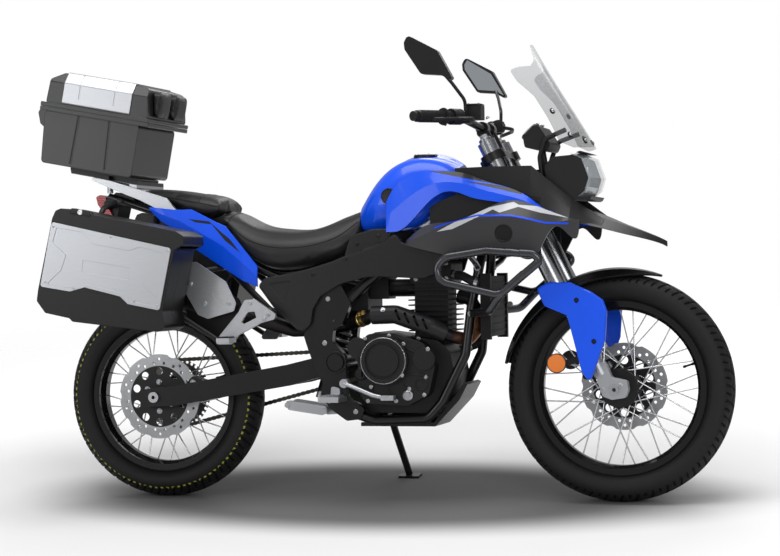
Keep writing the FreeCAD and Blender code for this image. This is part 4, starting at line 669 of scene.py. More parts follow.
tooth_x = np.linspace(PEG_BACK, PEG_FRONT, 2 * TREAD_TEETH + 1)
tooth_z = PEG_TOP + np.where(np.arange(2 * TREAD_TEETH + 1) % 2, 6.0, 0.4)
comb = [[(PEG_BACK, PEG_TOP - 3), *zip(tooth_x, tooth_z), (PEG_FRONT, PEG_TOP - 3)]]
tread = Shape()
for y0 in (156, 176, 196, 216):
    tread.add(*bars(comb, y0, y0 + 14))
tread.both()
tread.made("peg_treads", "frame", zinc, "spoke_steel", 20)

peg_rubber = Shape()
ridge_z = 490 + np.where(np.arange(13) % 2, 4.0, 2.0)
ridge = [[(260, 488), *zip(np.linspace(260, 296, 13), ridge_z), (296, 488)]]
peg_rubber.add(*bars(ridge, 222, 274))
peg_rubber.both()
peg_rubber.made("passenger_peg_rubbers", "frame", rubber, "rubber", 30)

sleeve = [(0, 0), (11, 0), (12, 2), (10.5, 6), (12, 10), (10.5, 14), (12, 18), (10.5, 22), (12, 26), (12, 30),
          (0, 32)]
fitting("gear_lever_rubber", "frame", rubber, "rubber", sleeve, (742, 172, 312), (0, 1, 0), 24, 40)

step_bolts = Shape()
plate_spots = [(560, 300), (640, 268), (548, 470), (560, 600)]
fixed_bolts(step_bolts, "passenger_pegs", [(344, 590), (398, 556), (386, 544)], BOTH_SIDES, 5)
fixed_bolts(step_bolts, "main_frame", plate_spots + [(612, 352)], (-1,), 5.5)
fixed_bolts(step_bolts, "main_frame", plate_spots, (1,), 5.5)
step_bolts.made("step_bolts", "frame", zinc, "spoke_steel", 30)

# Wheels
# Black anodised rims laced with steel spokes to black hubs. The wavy steel brake discs have dark spoked
# carriers; their faces keep the fine circular marks of the grinding, and the pads polish the band they sweep.

WHEELBASE = 1400.0
FRONT_TYRE_R = 331.0
FRONT_WHEEL = np.array([WHEELBASE, 0, FRONT_TYRE_R])
REAR_WHEEL = np.array([0, 0, REAR_TYRE_R])
DISC_BOLT_R = 44.0
SPROCKET_NUT_R = 50.0
VALVE_ANGLE = math.radians(18)

rim_black = coated("rim_black", linear(10, 10, 11), 0.24, (30, 0.2), metallic=0.2, coat=0.3)
wear(rim_black, "front_rim", "rear_rim")


def wheel_finishes(place, centre):
    """Finishes of one wheel's hub and spokes and of its brake disc, split by the distance from its axle."""
    lacing = Finish(place + "_lacing", linear(196, 197, 200), 0.24, 1.0, round_edge=0)
    out = lacing.radius(centre[0], centre[2])
    bare = out.step(58, 60)
    lacing.feed("Base Color", lacing.mix(bare, linear(20, 20, 22), linear(205, 206, 209)))
    lacing.feed("Metallic", bare)
    lacing.feed("Roughness", 0.4 - bare * 0.18)
    ground = Finish(place + "_disc_steel", linear(150, 151, 154), 0.34, 1.0, round_edge=0.0004)
    out = ground.radius(centre[0], centre[2])
    band = out.step(92, 94)
    polished = out.step(99, 101) * (1 - out.step(124, 126))
    marks = (out * 4.2).math("SINE")
    ground.feed("Base Color", ground.mix(band, linear(30, 30, 32), linear(160, 161, 164)))
    ground.feed("Roughness", 0.42 - polished * 0.14)
    ground.feed("Metallic", 0.3 + band * 0.7)
    ground.bump(marks, 0.00002, 0.5)
    wear(lacing, place + "_spokes")
    wear(ground, place + "_brake_disc")


wheel_finishes("front", FRONT_WHEEL)
wheel_finishes("rear", REAR_WHEEL)
wear(zinc, "front_axle", "rear_axle")
sprocket_steel = coated("sprocket_steel", linear(92, 90, 88), 0.4, (60, 0.2), metallic=1.0, round_edge=0.0004)
wear(sprocket_steel, "rear_sprocket")
caliper_black = coated("caliper_black", linear(18, 18, 19), 0.34, grain=(700, 0.00008, 0.6), metallic=0.2,
                       coat=0.1)
wear(caliper_black, "front_caliper")


def around(centre, r, count, first=0.0):
    """Machine x and z of places evenly round an axle."""
    turn = np.radians(first) + np.arange(count) * 2 * math.pi / count
    return np.stack([centre[0] + r * np.cos(turn), centre[2] + r * np.sin(turn)], -1)


def at_y(spots, y):
    """Places at one y from rows of x and z."""
    return np.insert(np.asarray(spots, float), 1, y, axis=1)


def wheel_bolts(place, centre, rim_r, disc_y, way):
    """Six disc bolts on the carrier, and the air valve on the rim, of one wheel."""
    disc_bolts = Shape()
    bolts(disc_bolts, at_y(around(centre, DISC_BOLT_R, 6, 30), disc_y), (0, way, 0), 6.5)
    disc_bolts.made(place + "_disc_bolts", place + "_wheel", zinc, "spoke_steel", 30)
    stem = [(0, -2), (4.5, -2), (4.5, 6), (3, 8), (3, 24), (4, 25), (4, 33), (0, 34)]
    inward = np.array([-math.cos(VALVE_ANGLE), 0, -math.sin(VALVE_ANGLE)])
    fitting(place + "_air_valve", place + "_wheel", rubber, "rubber", stem, centre - inward * rim_r,
            inward + (0, -0.25, 0), 14, 40)


wheel_bolts("front", FRONT_WHEEL, 224.0, 67.0, 1)
wheel_bolts("rear", REAR_WHEEL, 199.0, -76.0, -1)
sprocket_nuts = Shape()
bolts(sprocket_nuts, at_y(around(REAR_WHEEL, SPROCKET_NUT_R, 6), 79.0), (0, 1, 0), 6.5)
sprocket_nuts.made("sprocket_nuts", "rear_wheel", zinc, "spoke_steel", 30)

caliper_bolts = Shape()
fixed_bolts(caliper_bolts, "front_caliper", [(1294, 420), (1330, 395), (1300, 372)], (1,), 6.5)
caliper_bolts.made("caliper_bolts", "steering", zinc, "spoke_steel", 30)
rear_caliper_bolts = Shape()
bolts(rear_caliper_bolts, [(118, -100, 352), (140, -100, 320)], (0, -1, 0), 6.5)
rear_caliper_bolts.made("rear_caliper_bolts", "frame", zinc, "spoke_steel", 30)

# Tyres
# Dual-purpose tyres on wire wheels: blocks cut by slanted grooves over a round crown, and plain bulged walls
# with a moulded rib on each. The rear one carries a faded dashed line of moulding paint on its shoulder.

CROWN_R = 70.0
TREAD_DEPTH = 5.5
WALL_THICK = 9.0
CROWN_ROWS = 58
TYRE_COLUMNS = 1080
LINE_AT = 0.136
LINE_DASHES = 96
MOULD_BLACK = linear(15, 15, 16)


def arc_through(a, b, c, count):
    """Points on the circle through three points of a plane, from the first to the last.

    The centre is where the perpendicular bisectors of ab and bc meet; the angle runs from a past b to c.
    """
    a, b, c = (np.asarray(p, float) for p in (a, b, c))
    rows = 2 * np.array([b - a, c - b])
    centre = np.linalg.solve(rows, [b @ b - a @ a, c @ c - b @ b])
    angles = [math.atan2(*(p - centre)[::-1]) for p in (a, b, c)]
    turn = 2 * math.pi
    to_b = (angles[1] - angles[0]) % turn
    to_c = (angles[2] - angles[0]) % turn
    sweep = to_c if to_b < to_c else to_c - turn
    t = angles[0] + np.linspace(0, sweep, count)
    radius = np.linalg.norm(a - centre)
    return centre + radius * np.stack([np.cos(t), np.sin(t)], -1)


def smooth(x, low, high):
    """0 below low, 1 above high, and 3t^2 - 2t^3 between them."""
    t = np.clip((x - low) / (high - low), 0, 1)
    return t * t * (3 - 2 * t)


def tread_height(along, across, pitch):
    """Depth below the crown, in millimetres, at a distance along the tyre and across it.

    A slanted groove every pitch on each side, half a pitch apart left and right, a shorter one between them
    on the shoulder, and one wavy groove round the tyre on each side of the middle.
    """
    side = np.sign(across)
    out = np.abs(across)
    slant = along / pitch + 0.25 * side - 0.42 * out / pitch
    main = np.abs((slant % 1) - 0.5) * pitch
    short = np.abs(((slant + 0.5) % 1) - 0.5) * pitch
    ring = np.abs(out - 21 - 2.5 * np.sin(2 * math.pi * along / pitch))
    cut = (1 - smooth(main, 2.6, 4.2)) * smooth(out, 4, 7)
    cut = np.maximum(cut, (1 - smooth(short, 2.0, 3.4)) * smooth(out, 31, 34))
    cut = np.maximum(cut, (1 - smooth(ring, 1.9, 3.2)))
    return -TREAD_DEPTH * cut


def make_tyre(name, centre, r, half, bead_r, rim_half, pitches, finish):
    """Tyre from its profile, turned about the axle: radius and y come from the crown arc and wall arcs."""
    shoulder_y = 0.86 * half
    shoulder_r = r - CROWN_R + math.sqrt(CROWN_R ** 2 - shoulder_y ** 2)
    bulge_r = (shoulder_r + bead_r) / 2 + 4
    bead_y = rim_half - 5.5
    phi = np.linspace(-1, 1, CROWN_ROWS) * math.asin(shoulder_y / CROWN_R)
    crown = np.stack([r - CROWN_R + CROWN_R * np.cos(phi), CROWN_R * np.sin(phi)], -1)
    left = arc_through((shoulder_r, shoulder_y), (bulge_r, half), (bead_r + 14, bead_y), 12)[1:]
    left = np.concatenate([left, [(bead_r + 6, bead_y), (bead_r + 0.5, bead_y)]])
    lip = (bead_r + 0.5, bead_y - 8)
    inner = arc_through(lip, (r - WALL_THICK - 3, 0), (lip[0], -lip[1]), 7)
    right = left[::-1] * (1, -1)
    profile = np.concatenate([right, crown, left, inner])
    tangent = np.roll(profile, -1, 0) - np.roll(profile, 1, 0)
    normal = unit(np.stack([tangent[:, 1], -tangent[:, 0]], -1))
    theta = np.linspace(0, 2 * math.pi, TYRE_COLUMNS, endpoint=False)
    across = np.zeros(len(profile))
    on_crown = slice(len(right), len(right) + CROWN_ROWS)
    across[on_crown] = phi * CROWN_R
    height = np.zeros((len(profile), TYRE_COLUMNS))
    pitch = 2 * math.pi * r / pitches
    height[on_crown] = tread_height(theta[None, :] * r, across[on_crown][:, None], pitch)
    rib = np.exp(-((profile[:, 0] - (bead_r + 26)) / 1.5) ** 2) * (np.abs(profile[:, 1]) > bead_y)
    height += 0.8 * rib[:, None]
    radius = profile[:, 0][:, None] + normal[:, 0][:, None] * height
    y = profile[:, 1][:, None] + normal[:, 1][:, None] * height
    points = np.stack([radius * np.cos(theta), y, radius * np.sin(theta)], -1) + centre
    body = name.replace("tyre", "wheel")
    made = Shape().grid(points, True, True).made(name + "_tread", body, finish, "tyre", weld=0)
    edge = np.linspace(0, 1, len(profile))
    uv = np.stack(np.broadcast_arrays(theta / (2 * math.pi), edge[:, None]), -1)
    lay_uv(made, uv.reshape(-1, 2))
    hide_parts(name)


def lay_uv(made, uv):
    """Gives every face corner the uv of its point."""
    layer = made.data.uv_layers.new(name="along")
    corner = np.zeros(len(made.data.loops), np.int32)
    made.data.loops.foreach_get("vertex_index", corner)
    layer.data.foreach_set("uv", uv[corner].astype(np.float32).ravel())


tyre_rubber = coated("tyre_rubber", MOULD_BLACK, 0.62, (60, 0.25), (1400, 0.0002, 0.5), round_edge=0)

marked_rubber = Finish("tyre_rubber_marked", MOULD_BLACK, 0.62, round_edge=0)
where = marked_rubber.node("ShaderNodeUVMap", {"uv_map": "along"}, {})
round_tyre, over = (marked_rubber.node("ShaderNodeSeparateXYZ", {}, {0: where}, i) for i in range(2))
dash = (round_tyre * LINE_DASHES).math("FRACT").step(0.52, 0.56)
line = (over - LINE_AT).size().math("LESS_THAN", 0.0055)
painted = line * dash * marked_rubber.noise(90).step(0.2, 0.45)
marked_rubber.feed("Base Color", marked_rubber.mix(painted, MOULD_BLACK, linear(150, 148, 52)))
marked_rubber.bump(marked_rubber.noise(1400), 0.0002, 0.5)

make_tyre("front_tyre", FRONT_WHEEL, FRONT_TYRE_R, 54.0, 241.0, 35.0, 44, tyre_rubber)
make_tyre("rear_tyre", REAR_WHEEL, REAR_TYRE_R, 62.0, 216.0, 44.0, 38, marked_rubber)

# Chain
# Roller chain on the left of the wheel: side plates pressed on pins, every other pair inside its neighbours.
# It lies on the driven sprocket's pitch circle and on the small output sprocket, with two straight runs
# between.

CHAIN_Y = 76.0
CHAIN_PITCH = 15.875
PLATE_END_R = 6.6
PLATE_WAIST = 4.6
ROLLER_R = 4.6
ROLLER_HALF = 3.6
PIN_R = 2.4
PIN_HALF = 7.4
SPROCKET_TEETH = 41
OUTPUT_SPROCKET = np.array([655.0, 410.0])
OUTPUT_SPROCKET_R = 36.0


def belt_path(centre_a, r_a, centre_b, r_b):
    """Place and direction at a distance along the loop round two circles, and the loop's length."""
    along = centre_b - centre_a
    tilt = math.atan2(along[1], along[0])
    gap = np.linalg.norm(along)
    spread = math.acos((r_a - r_b) / gap)
    run = math.sqrt(gap ** 2 - (r_a - r_b) ** 2)
    turn_b = 2 * spread
    turn_a = 2 * math.pi - turn_b
    lengths = np.array([run, r_b * turn_b, run, r_a * turn_a])
    starts = np.concatenate([[0], np.cumsum(lengths)])

    def on(centre, r, angle):
        """Places at angles on a circle."""
        return centre + r * np.stack([np.cos(angle), np.sin(angle)], -1)

    def at(s):
        """Places at distances along the loop: each is taken from the leg of the loop that it falls on."""
        s = s % starts[-1]
        upper = on(centre_a, r_a, tilt + spread)
        upper_end = on(centre_b, r_b, tilt + spread)
        lower = on(centre_b, r_b, tilt - spread)
        lower_end = on(centre_a, r_a, tilt - spread)
        t = np.clip((s - starts[:4, None]) / lengths[:, None], 0, 1)
        legs = [upper + (upper_end - upper) * t[0][:, None],
                on(centre_b, r_b, tilt + spread - turn_b * t[1]),
                lower + (lower_end - lower) * t[2][:, None],
                on(centre_a, r_a, tilt - spread - turn_a * t[3])]
        leg = np.searchsorted(starts, s, side="right") - 1
        return np.choose(leg[:, None], legs)

    return at, starts[-1]


def make_chain(finish):
    """Plates, rollers and pins at every pitch along the loop, each a prism square to the chain."""
    sprocket_r = CHAIN_PITCH / (2 * math.sin(math.pi / SPROCKET_TEETH))
    at, length = belt_path(np.array([0, REAR_TYRE_R]), sprocket_r, OUTPUT_SPROCKET, OUTPUT_SPROCKET_R)
    count = 2 * round(length / CHAIN_PITCH / 2)
    pins = at(np.arange(count) * length / count)
    middle = (pins + np.roll(pins, -1, 0)) / 2
    along = unit(np.roll(pins, -1, 0) - pins)
    up = np.stack([-along[:, 1], along[:, 0]], -1)
    end = np.radians(np.linspace(-75, 75, 6))
    right = np.stack([CHAIN_PITCH / 2 + PLATE_END_R * np.cos(end), PLATE_END_R * np.sin(end)], -1)
    outline = np.concatenate([right, [[0, PLATE_WAIST]], -right, [[0, -PLATE_WAIST]]])
    plates = middle[:, None] + outline[:, :1] * along[:, None] + outline[:, 1:] * up[:, None]
    made = Shape()
    for y0, y1, every in ((3.6, 5.0, 1), (-5.0, -3.6, 1), (5.2, 6.6, 0), (-6.6, -5.2, 0)):
        made.add(*bars(plates[every::2], CHAIN_Y + y0, CHAIN_Y + y1))
    turn = np.linspace(0, 2 * math.pi, 9, endpoint=False)[::-1]
    circle = np.stack([np.cos(turn), np.sin(turn)], -1)
    made.add(*bars(pins[:, None] + ROLLER_R * circle, CHAIN_Y - ROLLER_HALF, CHAIN_Y + ROLLER_HALF))
    made.add(*bars(pins[:, None] + PIN_R * circle, CHAIN_Y - PIN_HALF, CHAIN_Y + PIN_HALF))
    piece = made.made("roller_chain", "frame", finish, "chain_steel", 30, 0)
    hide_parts("drive_chain")


make_chain(coated("chain_steel", linear(84, 80, 74), 0.38, (180, 0.25), metallic=1.0, round_edge=0))

# Fork, guards and front mudguard
# Bright outer tubes over polished sliders with cast silver feet, each with a rubber dust seal; moulded blue
# guards held by two bolts; an amber reflector on a bracket at each foot; and a black blade over the tyre.

RAKE = math.radians(26)
HEAD = np.array([1029.8, 0, 977.5])
FORK_OFFSET = 33.0
FORK_HALF = 100.0
FORK_OUTER_END = 483.0
REFLECTOR = (1233, -111, 407)
BRIGHT_BLUE = linear(0, 78, 226)

tube_steel = Finish("fork_tube_steel", linear(152, 154, 158), 0.24, 1.0)
turning_marks = tube_steel.noise(90, 3, (1, 1, 6))
tube_steel.vary(turning_marks, 0.1)
tube_steel.feed("Roughness", 0.2 + turning_marks * 0.1)
wear(tube_steel, "fork_outer_tubes")
slider = Finish("fork_slider", linear(190, 192, 196), 0.2, 1.0)
x, y, z = slider.machine()
cast = 1 - z.step(424, 430)
slider.feed("Roughness", 0.18 + cast * (0.2 + slider.noise(500) * 0.1))
slider.feed("Base Color", slider.mix(cast, linear(196, 198, 202), linear(168, 170, 174)))
wear(slider, "fork_lowers")
wear(frame_coat, "fork_clamps")

blue_paint = Finish("blue_paint", BRIGHT_BLUE, 0.36, coat=0.3, round_edge=0.004)
blue_paint.vary(blue_paint.cells(5200), 0.12)
blue_paint.bump(blue_paint.noise(160), 0.00004, 0.35)
wear(blue_paint, "fork_guards")

blade = coated("mudguard_black", linear(17, 17, 18), 0.34, grain=(1500, 0.00004, 0.6), coat=0.15)
wear(blade, "front_mudguard")


def on_fork(s, y, h):
    """Place s ahead of the steering axis and h up along it: both turned by the rake about the head."""
    cos, sin = math.cos(RAKE), math.sin(RAKE)
    return HEAD + (s * cos - h * sin, y, s * sin + h * cos)


fork_way = on_fork(0, 0, 1) - HEAD
seal_profile = [(20.7, -9), (27, -9), (29, -6), (29, -1), (26, 1), (20.7, 1)]
seal_place = on_fork(FORK_OFFSET, FORK_HALF, -FORK_OUTER_END)
fitting("fork_seals", "steering", rubber, "rubber", seal_profile, seal_place, fork_way, 32, 40, True)

caps = Shape()
bolts(caps, on_fork(FORK_OFFSET, FORK_HALF, 72), fork_way, 12)
caps.both()
caps.made("fork_cap_bolts", "steering", zinc, "spoke_steel", 30)

pinch = Shape()
bolts(pinch, [(1362, -84, 326), (1420, -84, 326)], (0, 1, 0), 5)
fixed_bolts(pinch, "fork_lowers", [(1366, 330), (1418, 342)], BOTH_SIDES, 6)
pinch.made("fork_foot_bolts", "steering", zinc, "spoke_steel", 30)

guard_bolts = Shape()
fixed_bolts(guard_bolts, "fork_guards", [(1298, 588), (1347, 470)], BOTH_SIDES, 5)
guard_bolts.made("guard_bolts", "steering", frame_coat, "black_metal", 30)

amber = Finish("amber_lens", linear(226, 120, 30), 0.18, coat=1.0, round_edge=0)
prisms_z, prisms_x = ((amber.machine()[i] * 1.5).math("SINE") for i in (2, 0))
amber.bump(prisms_z * prisms_x, 0.0004, 0.7)
lens_profile = [(0, 0), (26, 0), (26, 5), (24.5, 6.5), (12, 7.5), (0, 8)]
fitting("side_reflectors", "steering", amber, "lamp_red", lens_profile, REFLECTOR, (0, -1, 0), 40, 40, True)
reflector_rims = Shape()
rim_profile = [(0, -4), (28.5, -4), (28.5, 4), (27, 5), (26, 5), (26, 0), (0, 0)]
reflector_rims.add(*turned(rim_profile, REFLECTOR, (0, -1, 0), 40))
bracket = [[(1236, 400), (1262, 399), (1346, 424), (1352, 440), (1340, 446), (1262, 417), (1236, 414)]]
reflector_rims.add(*bars(bracket, -111, -108))
reflector_rims.both()
reflector_rims.made("reflector_brackets", "steering", frame_coat, "black_metal", 40)

# Handlebar, controls and mirrors
# Steel bar in black with ringed rubber grips; switch blocks with small keys; forged levers; a square brake
# reservoir with four screws; and mirror heads of black plastic with glass let into the inner face.

BAR_END = np.array([905.0, 412, 1108])
BAR_GRIP = np.array([976.0, 285, 1112])
GRIP_RINGS = 14
GRIP_RING_PITCH = 6.6
RESERVOIR = (1023, -201)
LID_POINTS = 40

wear(frame_coat, "handlebar")
controls = Finish("hand_controls", linear(16, 16, 17), 0.46)
x, y, z = controls.machine()
on_grip = y.size().step(303, 306) * (1 - y.size().step(404, 406)) * (1 - x.step(1010, 1012))
ringed = (y.size() * 1.05).math("SINE") * on_grip
controls.feed("Roughness", 0.46 + on_grip * 0.26)
controls.bump(ringed * 0.7 + controls.noise(1200) * 0.3, 0.0008, 0.9)
wear(controls, "hand_controls")

grip_way = unit(BAR_END - BAR_GRIP)
grips = Shape()
flange = [(16, 0), (24, 0), (25, 2), (24, 5), (18, 7), (16.4, 7)]
ring_profile = [(16, -1.6), (17.6, -0.9), (17.6, 0.9), (16, 1.6)]
ring_places = BAR_GRIP + grip_way * (46 + GRIP_RING_PITCH * np.arange(GRIP_RINGS))[:, None]
grips.add(*turned(flange, BAR_GRIP + grip_way * 33, grip_way, 36))
grips.add(*turned(ring_profile, ring_places, grip_way, 30))
grips.both()
grips.made("grip_ribs", "steering", rubber, "rubber", 40)

# The lid's outline is a circle's cosine and sine, each raised to a small power with its sign kept.
reservoir_cap = Shape()
lid_ring = np.linspace(0, 2 * math.pi, LID_POINTS, endpoint=False)
square = np.stack([np.cos(lid_ring), np.sin(lid_ring)], -1)
square = np.sign(square) * np.abs(square) ** 0.35
lid_rows = np.array([(24, 26, 1145.6), (24.6, 26.6, 1147), (24.6, 26.6, 1150), (23, 25, 1151.5),
                     (0, 0, 1151.5)])
lid = np.concatenate([RESERVOIR + lid_rows[:, None, :2] * square,
                      np.broadcast_to(lid_rows[:, None, 2:], (len(lid_rows), LID_POINTS, 1))], -1)
reservoir_cap.grid(lid, False, True)
reservoir_cap.add(lid[0], [list(range(LID_POINTS))])
reservoir_cap.made("reservoir_cap", "steering", frame_coat, "black_metal", 30)

red_key = coated("red_key", linear(196, 26, 34), 0.4, (300, 0.1))
key_profile = [(0, 0), (7, 0), (7, 5), (6, 6.5), (0, 6.5)]
fitting("stop_key", "steering", red_key, "lamp_red", key_profile, (948, -301, 1112), (-0.75, -0.42, 0.45), 20)
key_places = [(948, 301, 1112), (950, 305, 1100), (960, -296, 1094)]
key_ways = [(-0.75, 0.42, 0.45), (-0.8, 0.4, -0.3), (-0.7, -0.4, -0.5)]
fitting("switch_keys", "steering", blade, "black_plastic", key_profile, key_places, key_ways, 4)
screws = Shape()
lid_corners = [(x, y, 1151) for y in (-186, -216) for x in (1008, 1038)]
bolts(screws, lid_corners, (0, 0, 1), 2.6)
bolts(screws, [on_fork(44, -45, 145), on_fork(44, 45, 145)], fork_way, 5)
screws.made("bar_screws", "steering", zinc, "spoke_steel", 30)

mirror_black = coated("mirror_black", linear(18, 18, 20), 0.3, grain=(1600, 0.00003, 0.5), coat=0.2)
wear(mirror_black, "mirrors")
glass = Finish("mirror_glass", linear(196, 202, 208), 0.04, 1.0, round_edge=0)
glass.feed("Roughness", 0.03 + glass.noise(8) * 0.03)
head_outline = [(877, 1330), (868, 1316), (869, 1301), (911, 1236), (964, 1231), (992, 1216), (952, 1284)]
mirror = Shape()
mirror.add(*bars([head_outline], 338.6, 340.4))
mirror.both()
mirror.made("mirror_glasses", "steering", glass, "mirror_black", 20)

# Tank and blue panels
# Painted steel tank between moulded side shrouds, in one metallic blue under clear coat. Dark tapered stripes
# run back along the shrouds and the tail, round bare badges sit on the flanks, and the round filler cap is
# black.

SHROUD_STRIPES = [[(874, 966), (960, 963), (1128, 924), (1149, 907)],
                  [(985, 934), (1077, 921), (1160, 900), (1150, 892)]]
TAIL_STRIPES = [[(125, 843), (190, 835), (202, 825), (150, 832)],
                [(190, 835), (258, 780), (292, 738), (244, 776)]]
FILLER = np.array([826.0, 0, 1016.5])


def any_of(finish, outlines):
    """1 within any one of several convex outlines."""
    mask = finish.inside(outlines[0])
    for outline in outlines[1:]:
        mask = mask.either(finish.inside(outline))
    return mask


tank_paint = Finish("tank_paint", BRIGHT_BLUE, 0.32, coat=0.4, round_edge=0)
tank_paint.vary(tank_paint.cells(5200), 0.12)
tank_paint.bump(tank_paint.noise(160), 0.00003, 0.3)
wear(tank_paint, "fuel_tank")
panel_paint = Finish("panel_paint", BRIGHT_BLUE, 0.38, coat=0.25, round_edge=0.003)
stripes = any_of(panel_paint, SHROUD_STRIPES + TAIL_STRIPES)
base = panel_paint.vary(panel_paint.cells(5200), 0.12)
panel_paint.feed("Base Color", panel_paint.mix(stripes, base, linear(18, 19, 24)))
panel_paint.bump(panel_paint.noise(160), 0.00003, 0.3)
wear(panel_paint, "blue_panels")

badge_black = coated("badge_black", linear(8, 8, 9), 0.42, grain=(500, 0.00002, 0.4))
badges = Shape()
badge_profile = [(0, -3), (23, -3), (23, 1.6), (22, 2.4), (20.5, 2.4), (19.5, 1.2), (10, 2.0), (0, 2.2)]
tank_tree = skin_of("fuel_tank")
cover_tree = skin_of("side_covers")
for side in BOTH_SIDES:
    for tree, spot, grow in ((tank_tree, (742, 898), 1.0), (cover_tree, (1108, 782), 1.1)):
        place, way = landed(tree, *spot, side)
        badges.add(*turned(np.array(badge_profile) * (grow, 1), place, way, 48))
badges.made("round_badges", "frame", badge_black, "black_plastic", 30)

cap_rings = [(0, -6), (36, -6), (36, 2), (34, 4.5), (30, 5), (29, 3.6), (24, 3.6), (23, 5.5), (0, 6)]
fitting("filler_cap", "frame", badge_black, "black_metal", cap_rings, FILLER, (0, 0, 1), 56)
cap_bolts = Shape()
cap_spots = around((FILLER[0], 0, 0), 32, 6)
bolts(cap_bolts, np.insert(cap_spots, 2, FILLER[2] + 4.5, axis=1), (0, 0, 1), 2.4)
cap_bolts.made("filler_cap_screws", "frame", zinc, "spoke_steel", 30)

panel_screws = Shape()
fixed_bolts(panel_screws, "fuel_tank", [(801, 943)], BOTH_SIDES, 5)
fixed_bolts(panel_screws, "frame_covers", [(652, 759), (716, 781), (620, 716), (520, 672)], BOTH_SIDES, 4.5)
panel_screws.made("panel_screws", "frame", frame_coat, "black_metal", 30)

# Side covers, inner fairing, beak and frame covers
# Injection moulded plastic: satin grey covers with a silver slash and a blue pinstripe along the crease,
# fine-grained black for the beak and the inner panels, and satin black frame covers below the seat.

SLASHES = [[(914, 789), (981, 822), (1062, 856), (1080, 852), (1020, 822), (960, 796)],
           [(1062, 856), (1134, 870), (1156, 858), (1097, 840)],
           [(1120, 864), (1200, 857), (1290, 822), (1210, 838)]]
BLUE_LINE = [(905, 800), (966, 820), (1032, 834), (1133, 830), (1187, 819), (1226, 809), (1290, 806)]
LINE_HALF = 2.6

grey_plastic = Finish("cover_grey", linear(54, 54, 56), 0.36, 0.1, coat=0.1)
line_parts = [[(ax, az - LINE_HALF), (bx, bz - LINE_HALF), (bx, bz + LINE_HALF), (ax, az + LINE_HALF)]
              for (ax, az), (bx, bz) in zip(BLUE_LINE[:-1], BLUE_LINE[1:])]
slash = any_of(grey_plastic, SLASHES)
pinstripe = any_of(grey_plastic, line_parts)
toned = grey_plastic.mix(slash, grey_plastic.vary(grey_plastic.noise(14), 0.08), linear(186, 188, 192))
grey_plastic.feed("Base Color", grey_plastic.mix(pinstripe, toned, linear(10, 70, 226)))
grey_plastic.bump(grey_plastic.noise(1500), 0.00003, 0.5)
wear(grey_plastic, "side_covers")

grained = coated("grained_black", linear(21, 21, 22), 0.44, (12, 0.12), cells=(1100, 0.0001, 0.6))
wear(grained, "beak", "inner_fairing")
satin_black = coated("satin_black", linear(24, 24, 25), 0.32, (12, 0.1), (1500, 0.00003, 0.6), coat=0.12,
                     round_edge=0.007)
wear(satin_black, "frame_covers")

# Lamp, screen and cockpit
# Twin round reflectors in a black housing behind a clear raked lens, a tall clear screen held by six screws
# with rubber washers, and two round dials with plain ticks in a black pod that faces the rider.

BOWL = np.array([1260.0, 48.0, 945.0])
DIAL_PLACE = np.array([1152.0, 0, 1079])
DIAL_HALF_GAP = 36
DIAL_R = 29
DIAL_WAY = unit((-30, 0, 32))
DIAL_TICKS = 40

wear(grained, "headlight_shell", "cockpit")
lens_clear = Finish("lens_clear", linear(232, 238, 243), 0.03, alpha=0.22, round_edge=0)
lens_clear.feed("Roughness", 0.02 + lens_clear.noise(6) * 0.03)
wear(lens_clear, "headlight_lens")
screen_clear = Finish("screen_clear", linear(120, 124, 128), 0.04, alpha=0.3, round_edge=0)
screen_clear.feed("Roughness", 0.03 + screen_clear.noise(5) * 0.03)
height = screen_clear.machine()[2].step(1040, 1330)
screen_clear.feed("Base Color", screen_clear.mix(height, linear(92, 95, 98), linear(150, 155, 160)))
wear(screen_clear, "windscreen")

chrome = Finish("chrome", linear(222, 224, 228), 0.07, 1.0, round_edge=0)
chrome.feed("Roughness", 0.05 + chrome.noise(40) * 0.05)
reflectors = Shape()
depth = np.linspace(0, 1, 14)
bowl_profile = np.column_stack([6 + 33 * np.sqrt(depth), 2 + 30 * depth])
bowl_profile = np.concatenate([bowl_profile, [(41, 34), (41, 31)], bowl_profile[::-1] + (1.2, -1.4)])
bowl_places = [BOWL * (1, side, 1) for side in BOTH_SIDES]
points, faces = turned(bowl_profile, np.add(bowl_places, (4, 0, 0)), (1, 0, 0), 48)
reflectors.add(points, faces[:, ::-1])
reflectors.made("lamp_reflectors", "frame", chrome, "spoke_steel", 40)
bulb_glass = coated("bulb_glass", linear(236, 238, 240), 0.12, (400, 0.05), round_edge=0)
bulb = [(0, 0), (7, 0), (7, 8), (5.5, 12), (5.5, 20), (3.5, 24), (0, 25)]
bulb_places = np.add(bowl_places, (6, 0, 0))
fitting("lamp_bulbs", "frame", bulb_glass, "lamp_clear", bulb, bulb_places, (1, 0, 0), 20, 40)
bezel = [(41, 0), (46, 0), (47, 3), (45, 6), (41, 4), (41, 0)]
bezel_place = BOWL + (34, 0, 0)
fitting("lamp_bezels", "frame", satin_black, "black_plastic", bezel, bezel_place, (1, 0, 0), 56, 40, True)
park = Shape()
park_outline = [[(1289, 899), (1318, 896), (1330, 912), (1289, 918)]]
park.add(*bars(park_outline, -70, 70))
park.made("parking_lamp", "frame", bulb_glass, "lamp_clear", 20)

screen_tree = skin_of("windscreen")


def through_screen(y, z):
    """Where a line back along the machine first meets the screen, and which way the screen faces there."""
    start = Vector(leaned((1700, y, z)))
    place, normal = screen_tree.ray_cast(start, Vector(lean_turn @ (-1, 0, 0)))[:2]
    way = np.array(normal) @ lean_turn
    return upright(place), way * math.copysign(1, way[0])


